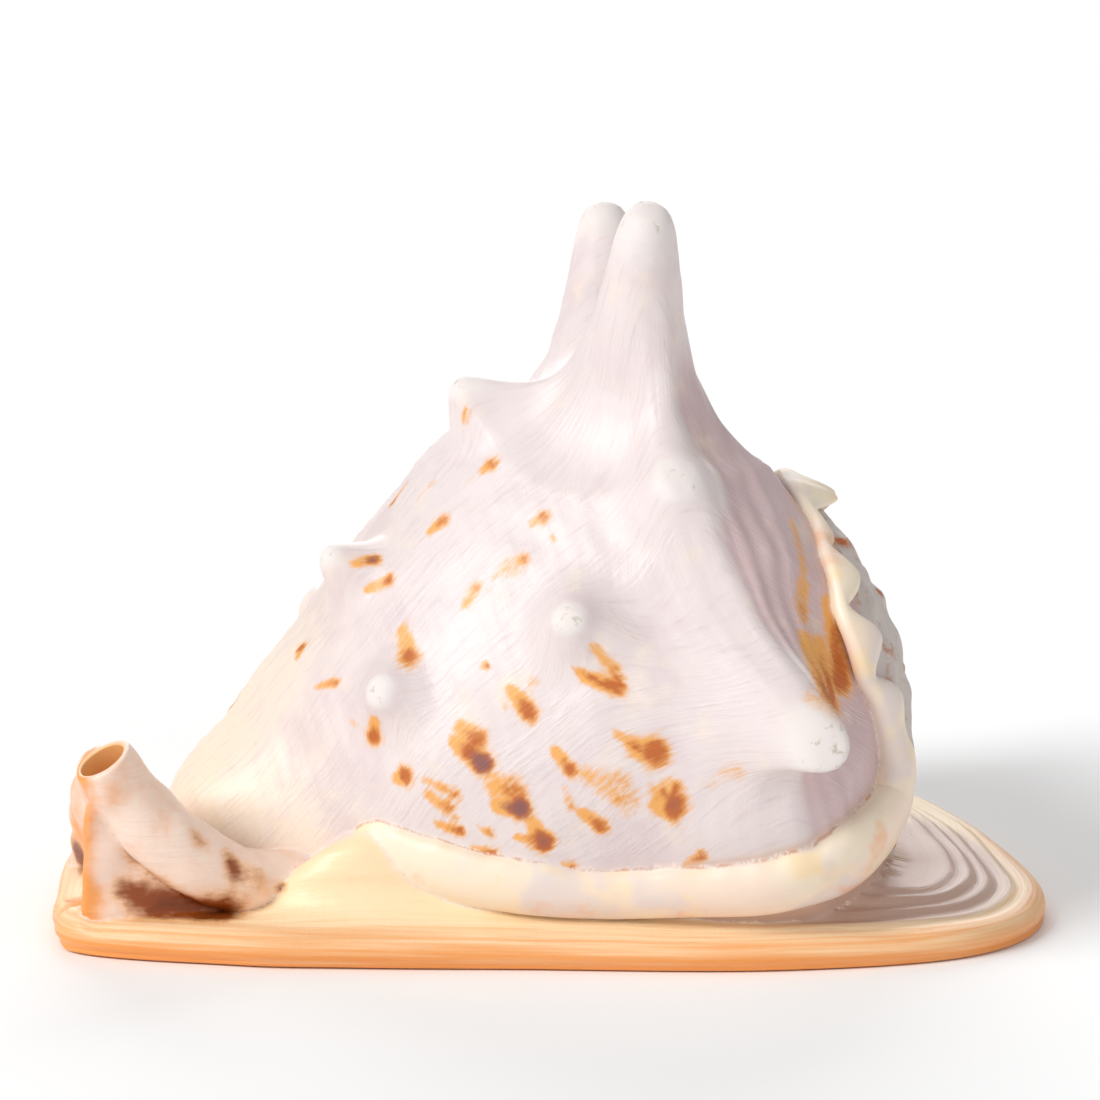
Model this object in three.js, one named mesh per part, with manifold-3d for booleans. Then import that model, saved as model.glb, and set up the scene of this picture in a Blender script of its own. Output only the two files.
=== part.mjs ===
// Horned helmet shell resting on its flat base. Millimetres, +Z up.
// +X points to the spire, -X to the siphonal canal, -Y to the shield side, +Y to the outer lip.
import * as THREE from 'three';
import { mergeVertices } from 'three/addons/utils/BufferGeometryUtils.js';
import Module from 'manifold-3d';

const wasm = await Module();
wasm.setup();

const RIGHT_ANGLE = Math.PI / 2;
const FULL_TURN = 2 * Math.PI;
const CUTTER_SIZE = 600;

// Coiling axis: where the apex stands, and how far the axis dips and swings towards the canal.
const APEX = new THREE.Vector3(86, -4, 58);
const AXIS_DIP = THREE.MathUtils.degToRad(14);
const AXIS_SWING = THREE.MathUtils.degToRad(8);

// Ridge line from apex to canal end: distance along the axis, radius over the back,
// and how much wider (lip side) or narrower (shield side) the whorl is there.
const RIDGE = [
  [6, 0, 0, 0],
  [5, 13, 0, 0],
  [6, 26, 0, 0],
  [9, 38, 0, -0.02],
  [13, 46, 0, -0.04],
  [18, 50, 0, -0.06],
  [27, 68, -0.02, -0.15],
  [40, 86, -0.02, -0.22],
  [54, 93, 0, -0.25],
  [74, 88, 0.06, -0.27],
  [96, 78, 0.17, -0.26],
  [118, 62, 0.24, -0.2],
  [140, 45, 0.32, -0.18],
  [160, 30, 0.36, -0.16],
  [178, 19, 0.25, -0.1],
  [194, 0, 0, 0],
];
const LIP_TURN = THREE.MathUtils.degToRad(105);
const SHIELD_TURN = THREE.MathUtils.degToRad(62);

// The spire leans in towards the lip side. The lip side's back edge flares over it: a skirt low down
// and a brim higher up, each with the turns and steps where it starts, is full, holds and ends.
const SPIRE_LEAN = 0.5;
const SPIRE_LEAN_END = 6.5;
const SPIRE_LEAN_TURN = THREE.MathUtils.degToRad(-65);
const SKIRT = 17;
const SKIRT_TURNS = [60, 135, 157, 180].map(THREE.MathUtils.degToRad);
const SKIRT_STEPS = [4.8, 6, 7.5, 10];
const BRIM = 9;
const BRIM_TURNS = [10, 40, 60, 95].map(THREE.MathUtils.degToRad);
const BRIM_STEPS = [4.6, 5.5, 6.2, 8];

const RINGS_PER_STEP = [2, 2, 2, 3, 3, 3, 4, 4, 4, 3, 3, 3, 3, 2, 2];
const RING_POINTS = 66;
const BACK_CROWDING = 0.45;

// Horns of the shoulder row: turn of the foot in degrees, tip, foot radius, flare and bluntness.
const HORN_STEP = 7.75;
const HORNS = [
  { turn: -72, tip: [60, -87.8, 55], foot: 33, flare: 0.36, blunt: 0.19 },
  { turn: -34, tip: [28, -58.5, 112], foot: 22, flare: 0.45, blunt: 0.27 },
  { turn: -8, tip: [21.5, -36, 172.4], foot: 33, flare: 0.15, blunt: 0.29 },
  { turn: 32, tip: [12.5, 54, 163], foot: 38, flare: 0.17, blunt: 0.25 },
  { turn: 70, tip: [30, 97.5, 87], foot: 30, flare: 0.25, blunt: 0.27 },
];
const HORN_ROUNDING = 0.7;

// Knobs of the lower rows: turn in degrees, step, height above the whorl, foot radius and bluntness.
const KNOBS = [
  { turn: 1, step: 9.52, height: 12.5, foot: 15, blunt: 0.33 },
  { turn: -50, step: 28 / 3, height: 9, foot: 16, blunt: 0.32 },
  { turn: 44, step: 29 / 3, height: 6.5, foot: 16, blunt: 0.4 },
  { turn: -3, step: 34 / 3, height: 11, foot: 14, blunt: 0.33 },
  { turn: -45, step: 34 / 3, height: 6.5, foot: 15, blunt: 0.33 },
  { turn: 48, step: 35 / 3, height: 5.5, foot: 13, blunt: 0.4 },
];
const KNOB_FLARE = 0.5;

// Base outline seen from above, with the rim thickness, the height it climbs to inside
// and how far inside it gets there.
const BASE_OUTLINE = [
  [-113, -63, 9, 12, 26],
  [-74, -75, 9, 12, 26],
  [-46, -77.5, 9, 28, 16],
  [-10, -78, 8, 24, 24],
  [50, -79, 8, 18, 26],
  [97, -66, 7, 12, 26],
  [117, -34, 7, 12, 26],
  [112, 15, 8, 14, 26],
  [93, 62, 10, 16, 26],
  [55, 89, 13, 16, 26],
  [0, 78, 14, 17, 26],
  [-65, 58, 14, 17, 26],
  [-105, 43, 12, 13, 26],
  [-119, 10, 11, 13, 26],
  [-119, -32, 12, 16, 26],
];
// Section of the base from the sole over the rim to the top: scale to the middle,
// inset in rims and in reaches, height in rims, in climbs and in mm.
const BASE_SECTION = [
  [0.4, 1, 0, 0, 0, 2.4],
  [0.78, 1, 0, 0, 0, 0],
  [1, 0.5, 0, 0, 0, 0],
  [1, 0.12, 0, 0.2, 0, 0],
  [1, 0, 0, 0.5, 0, 0],
  [1, 0.15, 0, 0.82, 0, 0],
  [1, 0.5, 0, 1, 0, 0],
  [1, 0.5, 0.35, 0.7, 0.3, 0],
  [1, 0, 1, 0, 1, 0],
  [0.5, 0, 1, 0, 1, 5],
];
const OUTLINE_POINTS = 56;
const SOLE_HOLLOW = 3;
const BASE_TOP = 26;
const BODY_FLOOR = 6;

// Old lip: a thick roll over the shield side that goes on as a ruffled ribbon along the suture.
// Turn in degrees, step, outward lift, half width over the whorl, half thickness, reach of the ruffles.
const ROLL_COURSE = [
  [-84, 12.2, -2.5, 5, 2.5, 0],
  [-90, 11.85, -0.8, 6.6, 3.4, 0],
  [-98, 11.4, 0.2, 7, 3.5, 0],
  [-104, 10.8, 0.4, 7, 3.5, 0],
  [-109, 10, 0.4, 6.4, 3.6, 0],
  [-112, 8.8, 0.4, 6.6, 3.8, 0],
  [-112, 7.6, 0.7, 7.6, 4.3, 0],
  [-113, 6.8, 1, 8.6, 4.8, 0],
  [-113, 6, 1.5, 8.6, 5, 0],
  [-111, 5.3, 2, 7.4, 5, 0],
  [-103, 4.9, 2.2, 6, 4.4, 0],
  [-94, 4.9, 1.6, 4, 3.4, 1.5],
  [-84, 5.1, 1.2, 2.6, 2.6, 4.5],
  [-74, 5.35, 1, 2.2, 2.4, 5.5],
  [-63, 5.45, 1, 2.1, 2.3, 5.5],
  [-51, 5.35, 1, 2, 2.2, 5],
  [-39, 5.2, 0.9, 2, 2, 4],
  [-27, 5, 0.9, 1.8, 1.6, 1.5],
  [-18, 4.95, 1, 2.4, 1.6, 2.5],
  [-10, 4.9, 1.4, 3.5, 1.9, 6],
  [0, 4.85, 1.4, 3.5, 2.2, 8],
  [10, 4.85, 1, 3.4, 2.4, 7.5],
  [20, 4.95, 0.6, 2.8, 2.2, 4],
  [36, 5.3, 0.4, 2.4, 2, 2.4],
  [70, 5.4, 0.4, 2.4, 2, 2.4],
  [104, 5.3, 0.2, 2.2, 1.8, 2],
  [118, 5.2, -0.8, 2, 1.5, 0.5],
];
const RUFFLES = 19;
const RUFFLE_PHASE = 3.5;
const RUFFLE_CURL = 0.15;
const RUFFLE_TILT = 0.7;
// The ribbon ends on top in a tongue, and from there it leans in over the spire.
const TONGUE_TURN = 3;
const TONGUE_REACH = 24;
const LEAN_IN = 1.8;
const LEAN_IN_TURNS = [-4, 10];
const ROLL_STATIONS = 60;
const ROLL_SIDES = 8;

// Siphonal canal: centre line and outer radius of a tube that rises from the front of the base.
const CANAL_TUBE = [
  [-46, -42, 13, 6],
  [-60, -50, 14.5, 7],
  [-74, -57, 16.5, 7.8],
  [-84.5, -60.5, 22.5, 8.4],
  [-91, -62, 28.5, 8.4],
  [-96.5, -63, 35, 8],
  [-100.5, -64.5, 41, 7.5],
  [-104, -66.5, 47.3, 7.2],
];
const CANAL_BORE = 5.7;
const BORE_START = 0.34;
const BORE_OVERRUN = 12;
const TUBE_STATIONS = 12;
const TUBE_SIDES = 10;

// Two upright walls carry the tube, and a slit opens it. Levels of each: height, front x, back x,
// middle y, half thickness and curl of the front edge.
const NEAR_WALL = [
  [4, -107, -58, -55, 5, -4],
  [9, -110, -64, -55.5, 3.6, -6],
  [16, -109.5, -72, -56.5, 2.8, -5],
  [24, -109, -82, -58, 2.6, -4],
  [31, -108.5, -88, -60, 2.6, -3],
  [37, -107, -94, -62, 2.4, -2],
  [40, -104, -97, -63, 2, -1],
];
const FAR_WALL = [
  [4, -118.5, -58, -46, 8, 34],
  [9, -118, -62, -47, 5.5, 31],
  [15, -116.5, -68, -47.5, 4.4, 24],
  [22, -115.5, -78, -48.5, 4.2, 17],
  [30, -114.5, -88, -50, 4.2, 11],
  [37, -113, -94.5, -52, 4, 7],
  [42, -111, -97.5, -54, 3.6, 4],
  [45.5, -109, -99, -56, 3.2, 2],
  [48, -106, -100, -57.5, 2.6, 1],
];
const SLIT = [
  [-4, -135, -84, -53.5, 2.2, 2],
  [10, -135, -84, -53.5, 2.2, 2],
  [20, -135, -90, -54.5, 2, 1],
  [27, -135, -98, -56, 1.6, 0],
  [33, -135, -107, -58, 0.8, 0],
];
const WALL_SIDES = 18;
const WALL_ROUNDING = 0.7;
const WALL_SWELL = 0.4;

// Aperture: a narrow toothed slot under the lip, running out into the canal.
// The path carries the half height of the slot; its lower edge hangs just below the base.
const SLOT_PATH = [
  [46, 46, 6],
  [30, 45, 15],
  [0, 38, 20],
  [-42, 18, 14],
  [-74, -16, 1],
  [-88, -53, 0],
];
const SLOT_WIDTH = 6;
const SLOT_OVERHANG = 9;
const SLOT_STATIONS = 52;
const SLOT_SIDES = 8;
const TOOTH_COUNT = 13;
const TOOTH_HEIGHT = 1.6;

const axisDown = new THREE.Vector3(
  -Math.cos(AXIS_DIP) * Math.cos(AXIS_SWING),
  -Math.cos(AXIS_DIP) * Math.sin(AXIS_SWING),
  -Math.sin(AXIS_DIP),
);
const axisSide = new THREE.Vector3(-Math.sin(AXIS_SWING), Math.cos(AXIS_SWING), 0);
const axisUp = new THREE.Vector3().crossVectors(axisSide, axisDown);

const lastStep = RIDGE.length - 1;

// Smooth curve through rows of values, at a position counted in rows.
function smooth(rows, at, closed = false) {
  const count = rows.length;
  const span = closed ? Math.floor(at) : Math.min(Math.floor(at), count - 2);
  const part = at - span;
  const row = (k) => {
    const index = span + k;
    return rows[closed ? (index + count) % count : THREE.MathUtils.clamp(index, 0, count - 1)];
  };
  return row(0).map((here, column) => {
    const before = row(-1)[column];
    const there = row(1)[column];
    const slopeHere = 0.5 * (there - before);
    const slopeThere = 0.5 * (row(2)[column] - here);
    const rise = there - here;
    const bend = 3 * rise - 2 * slopeHere - slopeThere;
    const twist = slopeHere + slopeThere - 2 * rise;
    return here + part * (slopeHere + part * (bend + part * twist));
  });
}

function counted(length, make) {
  return Array.from({ length }, (_, i) => make(i));
}

// Closed skin through rings of equal point count, with a point closing each end.
function closedSkin(first, rings, last) {
  const count = rings[0].length;
  const points = [first, ...rings.flat(), last];
  const lastIndex = points.length - 1;
  const index = [];
  for (let i = 0; i < count; i += 1) {
    const next = (i + 1) % count;
    index.push(0, 1 + next, 1 + i);
    for (let ring = 0; ring < rings.length - 1; ring += 1) {
      const here = 1 + ring * count;
      const there = here + count;
      index.push(here + i, here + next, there + i);
      index.push(here + next, there + next, there + i);
    }
    const end = lastIndex - count;
    index.push(end + i, end + next, lastIndex);
  }
  const geometry = new THREE.BufferGeometry().setFromPoints(points);
  geometry.setIndex(index);
  return geometry;
}

// Solid from a closed geometry, turned so that its faces point outwards.
function solid(geometry) {
  geometry.deleteAttribute('normal');
  geometry.deleteAttribute('uv');
  const merged = mergeVertices(geometry, 1e-4);
  const spots = merged.attributes.position.array;
  const triVerts = new Uint32Array(merged.index.array);
  const corners = [0, 1, 2].map(() => new THREE.Vector3());
  let volume = 0;
  for (let i = 0; i < triVerts.length; i += 3) {
    corners.forEach((corner, k) => corner.fromArray(spots, 3 * triVerts[i + k]));
    volume += corners[0].dot(corners[1].cross(corners[2]));
  }
  if (volume < 0) {
    triVerts.reverse();
  }
  return new wasm.Manifold(new wasm.Mesh({ numProp: 3, vertProperties: spots, triVerts }));
}

function eased(share) {
  return Math.sin(RIGHT_ANGLE * THREE.MathUtils.clamp(share, 0, 1));
}

// Rises from 0 at the first bound to 1 at the second, and falls again between the last two.
function plateau(value, [start, full, hold, end]) {
  const { smoothstep } = THREE.MathUtils;
  return smoothstep(value, start, full) * (1 - smoothstep(value, hold, end));
}

// How far the back edge of the lip side flares at a turn and a step.
function flareAt(turn, step) {
  const skirt = SKIRT * plateau(turn, SKIRT_TURNS) * plateau(step, SKIRT_STEPS);
  return skirt + BRIM * plateau(turn, BRIM_TURNS) * plateau(step, BRIM_STEPS);
}

// Point of the plain whorl at a turn around the axis and a step along the ridge line.
function whorlPoint(turn, step) {
  const [along, ridge, lip, shield] = smooth(RIDGE, step);
  const growth = turn > 0 ? lip * eased(turn / LIP_TURN) : shield * eased(-turn / SHIELD_TURN);
  const radius = ridge * (1 + growth);
  const sunk = eased(1 - step / SPIRE_LEAN_END);
  const lean = SPIRE_LEAN * sunk * radius * 0.5 * (1 - Math.cos(turn - SPIRE_LEAN_TURN));
  return APEX.clone()
    .addScaledVector(axisDown, along + lean - flareAt(turn, step))
    .addScaledVector(axisUp, radius * Math.cos(turn))
    .addScaledVector(axisSide, radius * Math.sin(turn));
}

// Cubic curve value between four control values.
function cubic(share, a, b, c, d) {
  const rest = 1 - share;
  return a * rest ** 3 + 3 * b * rest * rest * share + 3 * c * rest * share * share + d * share ** 3;
}

// Turn of one of the lines that run from apex to canal, crowded together over the back.
function lineTurn(line) {
  const even = FULL_TURN * (line / RING_POINTS - 0.5);
  return even - BACK_CROWDING * Math.sin(even);
}

// Turn of the line nearest to an angle in degrees.
function nearestLineTurn(degrees) {
  const turns = counted(RING_POINTS, lineTurn);
  const wanted = THREE.MathUtils.degToRad(degrees);
  return turns.reduce((best, turn) => (Math.abs(turn - wanted) < Math.abs(best - wanted) ? turn : best));
}

// Outward normal of the plain whorl.
function whorlNormal(turn, step) {
  const along = whorlPoint(turn, step + 0.1).sub(whorlPoint(turn, step));
  const around = whorlPoint(turn + 0.01, step).sub(whorlPoint(turn, step));
  return around.cross(along).normalize();
}

function hornFrom({ turn, tip, foot, flare, blunt }) {
  const angle = nearestLineTurn(turn);
  const base = whorlPoint(angle, HORN_STEP);
  const rise = new THREE.Vector3(...tip).sub(base);
  return { base, normal: whorlNormal(angle, HORN_STEP), rise, foot, flare, blunt };
}

function knobFrom({ turn, step, height, foot, blunt }) {
  const angle = nearestLineTurn(turn);
  const base = whorlPoint(angle, step);
  const normal = whorlNormal(angle, step);
  const rise = normal.clone().multiplyScalar(height);
  return { base, normal, rise, foot, flare: KNOB_FLARE, blunt };
}

const bumps = [...HORNS.map(hornFrom), ...KNOBS.map(knobFrom)];

// Whorl point carried up the horns and knobs: each foot is drawn in and lifted along a cubic profile.
function shellPoint(turn, step) {
  const plain = whorlPoint(turn, step);
  const raised = plain.clone();
  for (const { base, normal, rise, foot, flare, blunt } of bumps) {
    const flat = plain.clone().sub(base);
    const level = flat.dot(normal);
    flat.addScaledVector(normal, -level);
    const reach = flat.length() / foot;
    if (reach < 1 && level > -foot) {
      const up = 1 - reach;
      const tip = 3 * blunt * reach ** HORN_ROUNDING * up * up;
      const spread = foot * (cubic(up, 1, flare, 0, 0) + tip);
      raised.addScaledVector(rise, cubic(up, 0, 0, 1, 1));
      raised.addScaledVector(flat.normalize(), spread - foot * reach);
    }
  }
  return raised;
}

function bodySolid() {
  const steps = RINGS_PER_STEP.flatMap((count, step) => counted(count, (k) => step + k / count));
  const lines = counted(RING_POINTS, lineTurn);
  const rings = steps.slice(1).map((step) => lines.map((turn) => shellPoint(turn, step)));
  return solid(closedSkin(whorlPoint(0, 0), rings, whorlPoint(0, lastStep)));
}

function baseSolid() {
  const pace = BASE_OUTLINE.length / OUTLINE_POINTS;
  const edges = counted(OUTLINE_POINTS, (i) => smooth(BASE_OUTLINE, i * pace, true));
  const inward = edges.map((_, i) => {
    const [x, y] = edges[(i + OUTLINE_POINTS - 1) % OUTLINE_POINTS];
    const [nextX, nextY] = edges[(i + 1) % OUTLINE_POINTS];
    return new THREE.Vector2(y - nextY, nextX - x).normalize();
  });
  const rings = BASE_SECTION.map(([scale, byRim, byReach, rims, climbs, rise]) => edges.map((edge, i) => {
    const [x, y, rim, climb, reach] = edge;
    const inside = byRim * rim + byReach * reach;
    const spot = new THREE.Vector2(x, y).addScaledVector(inward[i], inside).multiplyScalar(scale);
    return new THREE.Vector3(spot.x, spot.y, rims * rim + climbs * climb + rise);
  }));
  return solid(closedSkin(new THREE.Vector3(0, 0, SOLE_HOLLOW), rings, new THREE.Vector3(0, 0, BASE_TOP)));
}

// Solid swept along a path of points: an oval about each point, given its two half axes as vectors.
function sweptSolid(path, sides, halfAxes) {
  const rings = path.map((centre, station) => {
    const [across, upward] = halfAxes(station);
    return counted(sides, (i) => {
      const angle = FULL_TURN * i / sides;
      const spot = centre.clone().addScaledVector(across, Math.cos(angle));
      return spot.addScaledVector(upward, Math.sin(angle));
    });
  });
  return solid(closedSkin(path[0], rings, path[path.length - 1]));
}

function tangentAt(path, station) {
  const before = path[Math.max(station - 1, 0)];
  const after = path[Math.min(station + 1, path.length - 1)];
  return after.clone().sub(before).normalize();
}

// Oval of the roll at one station: its centre and half axes, drawn out towards the apex by the ruffles.
function rollOval([degrees, step, lift, width, depth, ruffle], seat, tangent) {
  const turn = THREE.MathUtils.degToRad(degrees);
  const outward = whorlNormal(turn, step);
  const swell = 0.5 + 0.5 * Math.cos(RUFFLES * turn + RUFFLE_PHASE);
  const offTongue = THREE.MathUtils.clamp(Math.abs(degrees - TONGUE_TURN) / TONGUE_REACH, 0, 1);
  const tongue = 0.5 + 0.5 * Math.cos(Math.PI * offTongue);
  const wave = Math.max(ruffle, 0) * Math.sqrt(Math.max(swell, tongue));
  const leaning = 1 - LEAN_IN * THREE.MathUtils.smoothstep(degrees, ...LEAN_IN_TURNS);
  const tilt = RUFFLE_TILT * leaning * wave / (width + wave);
  const apexward = new THREE.Vector3().crossVectors(tangent, outward).normalize();
  const side = apexward.multiplyScalar(Math.cos(tilt)).addScaledVector(outward, Math.sin(tilt));
  const upward = new THREE.Vector3().crossVectors(side, tangent).setLength(depth);
  const lifted = seat.clone().addScaledVector(outward, lift + RUFFLE_CURL * wave);
  const centre = lifted.addScaledVector(side, wave / 2);
  return { centre, halfAxes: [side.multiplyScalar(width + wave / 2), upward] };
}

function rollSolid() {
  const pace = (ROLL_COURSE.length - 1) / (ROLL_STATIONS - 1);
  const rows = counted(ROLL_STATIONS, (i) => smooth(ROLL_COURSE, i * pace));
  const seats = rows.map(([degrees, step]) => whorlPoint(THREE.MathUtils.degToRad(degrees), step));
  const ovals = rows.map((row, i) => rollOval(row, seats[i], tangentAt(seats, i)));
  const path = ovals.map(({ centre }) => centre);
  return sweptSolid(path, ROLL_SIDES, (station) => ovals[station].halfAxes);
}

// Round tube along the canal's centre line from a share of its length, running on past its end.
function tubeSolid(start, overrun, radius) {
  const pace = (1 - start) / (TUBE_STATIONS - 1);
  const last = CANAL_TUBE.length - 1;
  const rows = counted(TUBE_STATIONS, (i) => smooth(CANAL_TUBE, last * (start + i * pace)));
  const path = rows.map(([x, y, z]) => new THREE.Vector3(x, y, z));
  if (overrun > 0) {
    const mouth = path[path.length - 1];
    path.push(mouth.clone().addScaledVector(tangentAt(path, path.length - 1), overrun));
  }
  return sweptSolid(path, TUBE_SIDES, (station) => {
    const tangent = tangentAt(path, station);
    const across = new THREE.Vector3(-tangent.y, tangent.x, 0).normalize();
    const upward = new THREE.Vector3().crossVectors(tangent, across);
    const size = radius ?? rows[Math.min(station, rows.length - 1)][3];
    return [across.multiplyScalar(size), upward.multiplyScalar(size)];
  });
}

// Stack of long ovals, one per level.
function stackSolid(levels) {
  const rings = levels.map(([height, front, back, middle, half, curl]) => counted(WALL_SIDES, (i) => {
    const angle = FULL_TURN * i / WALL_SIDES;
    const end = Math.sign(Math.cos(angle)) * Math.abs(Math.cos(angle)) ** WALL_ROUNDING;
    const forward = 0.5 - 0.5 * end;
    const y = middle + half * (1 + WALL_SWELL * forward ** 3) * Math.sin(angle) + curl * forward ** 3;
    return new THREE.Vector3(back + (front - back) * forward, y, height);
  }));
  const middleOf = ([height, front, back, y]) => new THREE.Vector3(0.5 * (front + back), y, height);
  return solid(closedSkin(middleOf(levels[0]), rings, middleOf(levels[levels.length - 1])));
}

function slotSolid() {
  const last = SLOT_STATIONS - 1;
  const pace = (SLOT_PATH.length - 1) / last;
  const path = counted(SLOT_STATIONS, (i) => new THREE.Vector3(...smooth(SLOT_PATH, i * pace)));
  return sweptSolid(path, SLOT_SIDES, (station) => {
    const tooth = 0.5 * TOOTH_HEIGHT * (1 + Math.cos(FULL_TURN * TOOTH_COUNT * station / last));
    const tangent = tangentAt(path, station);
    const across = new THREE.Vector3(-tangent.y, tangent.x, 0).setLength(SLOT_WIDTH - tooth);
    return [across, new THREE.Vector3(0, 0, path[station].z + SLOT_OVERHANG)];
  });
}

function above(height) {
  const geometry = new THREE.BoxGeometry(CUTTER_SIZE, CUTTER_SIZE, CUTTER_SIZE);
  geometry.translate(0, 0, height + CUTTER_SIZE / 2);
  return solid(geometry);
}

const shellSolid = bodySolid()
  .intersect(above(BODY_FLOOR))
  .add(baseSolid())
  .add(rollSolid())
  .add(tubeSolid(0, 0))
  .add(stackSolid(NEAR_WALL))
  .add(stackSolid(FAR_WALL))
  .subtract(tubeSolid(BORE_START, BORE_OVERRUN, CANAL_BORE))
  .subtract(stackSolid(SLIT))
  .subtract(slotSolid());

function meshOf(result, name, material) {
  const { vertProperties, triVerts } = result.getMesh();
  const geometry = new THREE.BufferGeometry();
  geometry.setAttribute('position', new THREE.BufferAttribute(vertProperties, 3));
  geometry.setIndex(new THREE.BufferAttribute(triVerts, 1));
  geometry.computeVertexNormals();
  geometry.computeBoundingBox();
  const middle = geometry.boundingBox.getCenter(new THREE.Vector3());
  const mesh = new THREE.Mesh(geometry, material);
  mesh.name = name;
  mesh.position.set(-middle.x, -middle.y, 0);
  return mesh;
}

const shellMaterial = new THREE.MeshStandardMaterial({ color: '#ede2df', roughness: 0.45, metalness: 0 });
const helmetShell = new THREE.Group();
helmetShell.add(meshOf(shellSolid, 'shell', shellMaterial));

export default helmetShell;
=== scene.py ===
"""A horned helmet shell, one grown piece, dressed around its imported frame.

Shapes are worked out in millimetres in the maker's frame: +X to the spire, -X to the siphonal
canal, -Y to the shield side, +Y to the outer lip, +Z up from the flat base.
"""

import logging
import math
from dataclasses import dataclass, field
from enum import Enum

import bpy
import numpy as np
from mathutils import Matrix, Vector


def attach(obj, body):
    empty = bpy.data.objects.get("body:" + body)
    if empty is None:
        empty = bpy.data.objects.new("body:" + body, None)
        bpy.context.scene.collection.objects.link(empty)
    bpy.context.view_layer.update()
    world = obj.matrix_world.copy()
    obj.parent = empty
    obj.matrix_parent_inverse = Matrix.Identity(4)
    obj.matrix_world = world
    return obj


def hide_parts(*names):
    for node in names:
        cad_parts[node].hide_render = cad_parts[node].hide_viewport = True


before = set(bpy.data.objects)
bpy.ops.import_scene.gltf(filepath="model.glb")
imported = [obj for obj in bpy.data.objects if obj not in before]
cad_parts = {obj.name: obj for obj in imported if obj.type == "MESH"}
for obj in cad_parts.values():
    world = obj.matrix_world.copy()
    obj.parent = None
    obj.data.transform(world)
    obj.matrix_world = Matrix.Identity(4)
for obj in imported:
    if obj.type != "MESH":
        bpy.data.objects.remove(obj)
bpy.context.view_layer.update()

MM = 0.001
TO_ROW_FRAME = np.array([1.266, -4.826, 0.0])
LOG = logging.getLogger("helmet_shell")

Knots = tuple[tuple[float, ...], ...]
Span = tuple[float, float]
Marks = tuple[float, float, float, float]


class Join(Enum):
    """How one solid changes another."""

    GROW = "UNION"
    CUT = "DIFFERENCE"


class Region(Enum):
    """The grown region that a point of the shell belongs to."""

    WHORL = 0.0
    BASE = 1.0
    ROLL = 2.0
    CANAL = 3.0
    THROAT = 4.0


def ease(share: np.ndarray) -> np.ndarray:
    """Cubic ease from 0 to 1, flat at both ends."""
    share = np.clip(share, 0.0, 1.0)
    return share * share * (3.0 - 2.0 * share)


def eased(value: np.ndarray, span: Span) -> np.ndarray:
    """Cubic ease of a value: 0 at the span's first end and 1 at its second, which may be the lower one."""
    return ease((value - span[0]) / (span[1] - span[0]))


def plateau(value: np.ndarray, marks: Marks) -> np.ndarray:
    """Flat-topped hump of a value: it climbs between the first two marks and falls between the last two."""
    return eased(value, marks[:2]) * (1.0 - eased(value, marks[2:]))


def hump(value: np.ndarray, middle: float, reach: float) -> np.ndarray:
    """Raised-cosine hump: 1 at the middle, 0 from one reach away."""
    share = np.clip(np.abs(value - middle) / reach, 0.0, 1.0)
    return 0.5 + 0.5 * np.cos(np.pi * share)


def hump_turn(turn: np.ndarray, least: float) -> np.ndarray:
    """Half cosine about the axis: 0 at the least turn in degrees, 1 on the other side."""
    return 0.5 - 0.5 * np.cos(turn - math.radians(least))


def spline(knots: Knots, at: np.ndarray, closed: bool = False) -> np.ndarray:
    """Catmull-Rom spline: a cubic between each two knots whose slopes are half the step between neighbours.

    Args:
        knots: Rows of values, one row per knot.
        at: Positions counted in knots, of any shape.
        closed: Whether the last knot leads back to the first.

    Returns:
        The values at those positions, with one more axis for the columns.
    """
    rows = np.asarray(knots, float)
    count = len(rows)
    span = np.floor(at).astype(int)
    if not closed:
        span = np.clip(span, 0, count - 2)
    part = (at - span)[..., None]
    if closed:
        before, here, there, after = (rows[(span + k) % count] for k in (-1, 0, 1, 2))
    else:
        before, here, there, after = (rows[np.clip(span + k, 0, count - 1)] for k in (-1, 0, 1, 2))
    slope_here = 0.5 * (there - before)
    slope_there = 0.5 * (after - here)
    rise = there - here
    bend = 3.0 * rise - 2.0 * slope_here - slope_there
    twist = slope_here + slope_there - 2.0 * rise
    return here + part * (slope_here + part * (bend + part * twist))


def ripple(points: np.ndarray, wavelength: float, seed: int) -> np.ndarray:
    """Smooth uneven field between about -1 and 1: a sum of nine sine waves in seeded directions."""
    draw = np.random.default_rng(seed)
    aim = draw.normal(size=(9, 3))
    aim /= np.linalg.norm(aim, axis=1, keepdims=True)
    pace = 2.0 * np.pi / (wavelength * draw.uniform(0.7, 1.5, 9))
    phase = draw.uniform(0.0, 2.0 * np.pi, 9)
    waves = np.sin((points @ aim.T) * pace + phase)
    return waves.sum(axis=-1) / 4.0


def grid_normals(grid: np.ndarray) -> np.ndarray:
    """Unit normals of a grid closed along its second axis: the cross product of its two slopes."""
    wrapped = np.concatenate([grid[:, -1:], grid, grid[:, :1]], axis=1)
    around = wrapped[:, 2:] - wrapped[:, :-2]
    along = np.gradient(grid, axis=0)
    normals = np.cross(around, along)
    return normals / np.maximum(np.linalg.norm(normals, axis=-1, keepdims=True), 1e-9)


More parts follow.
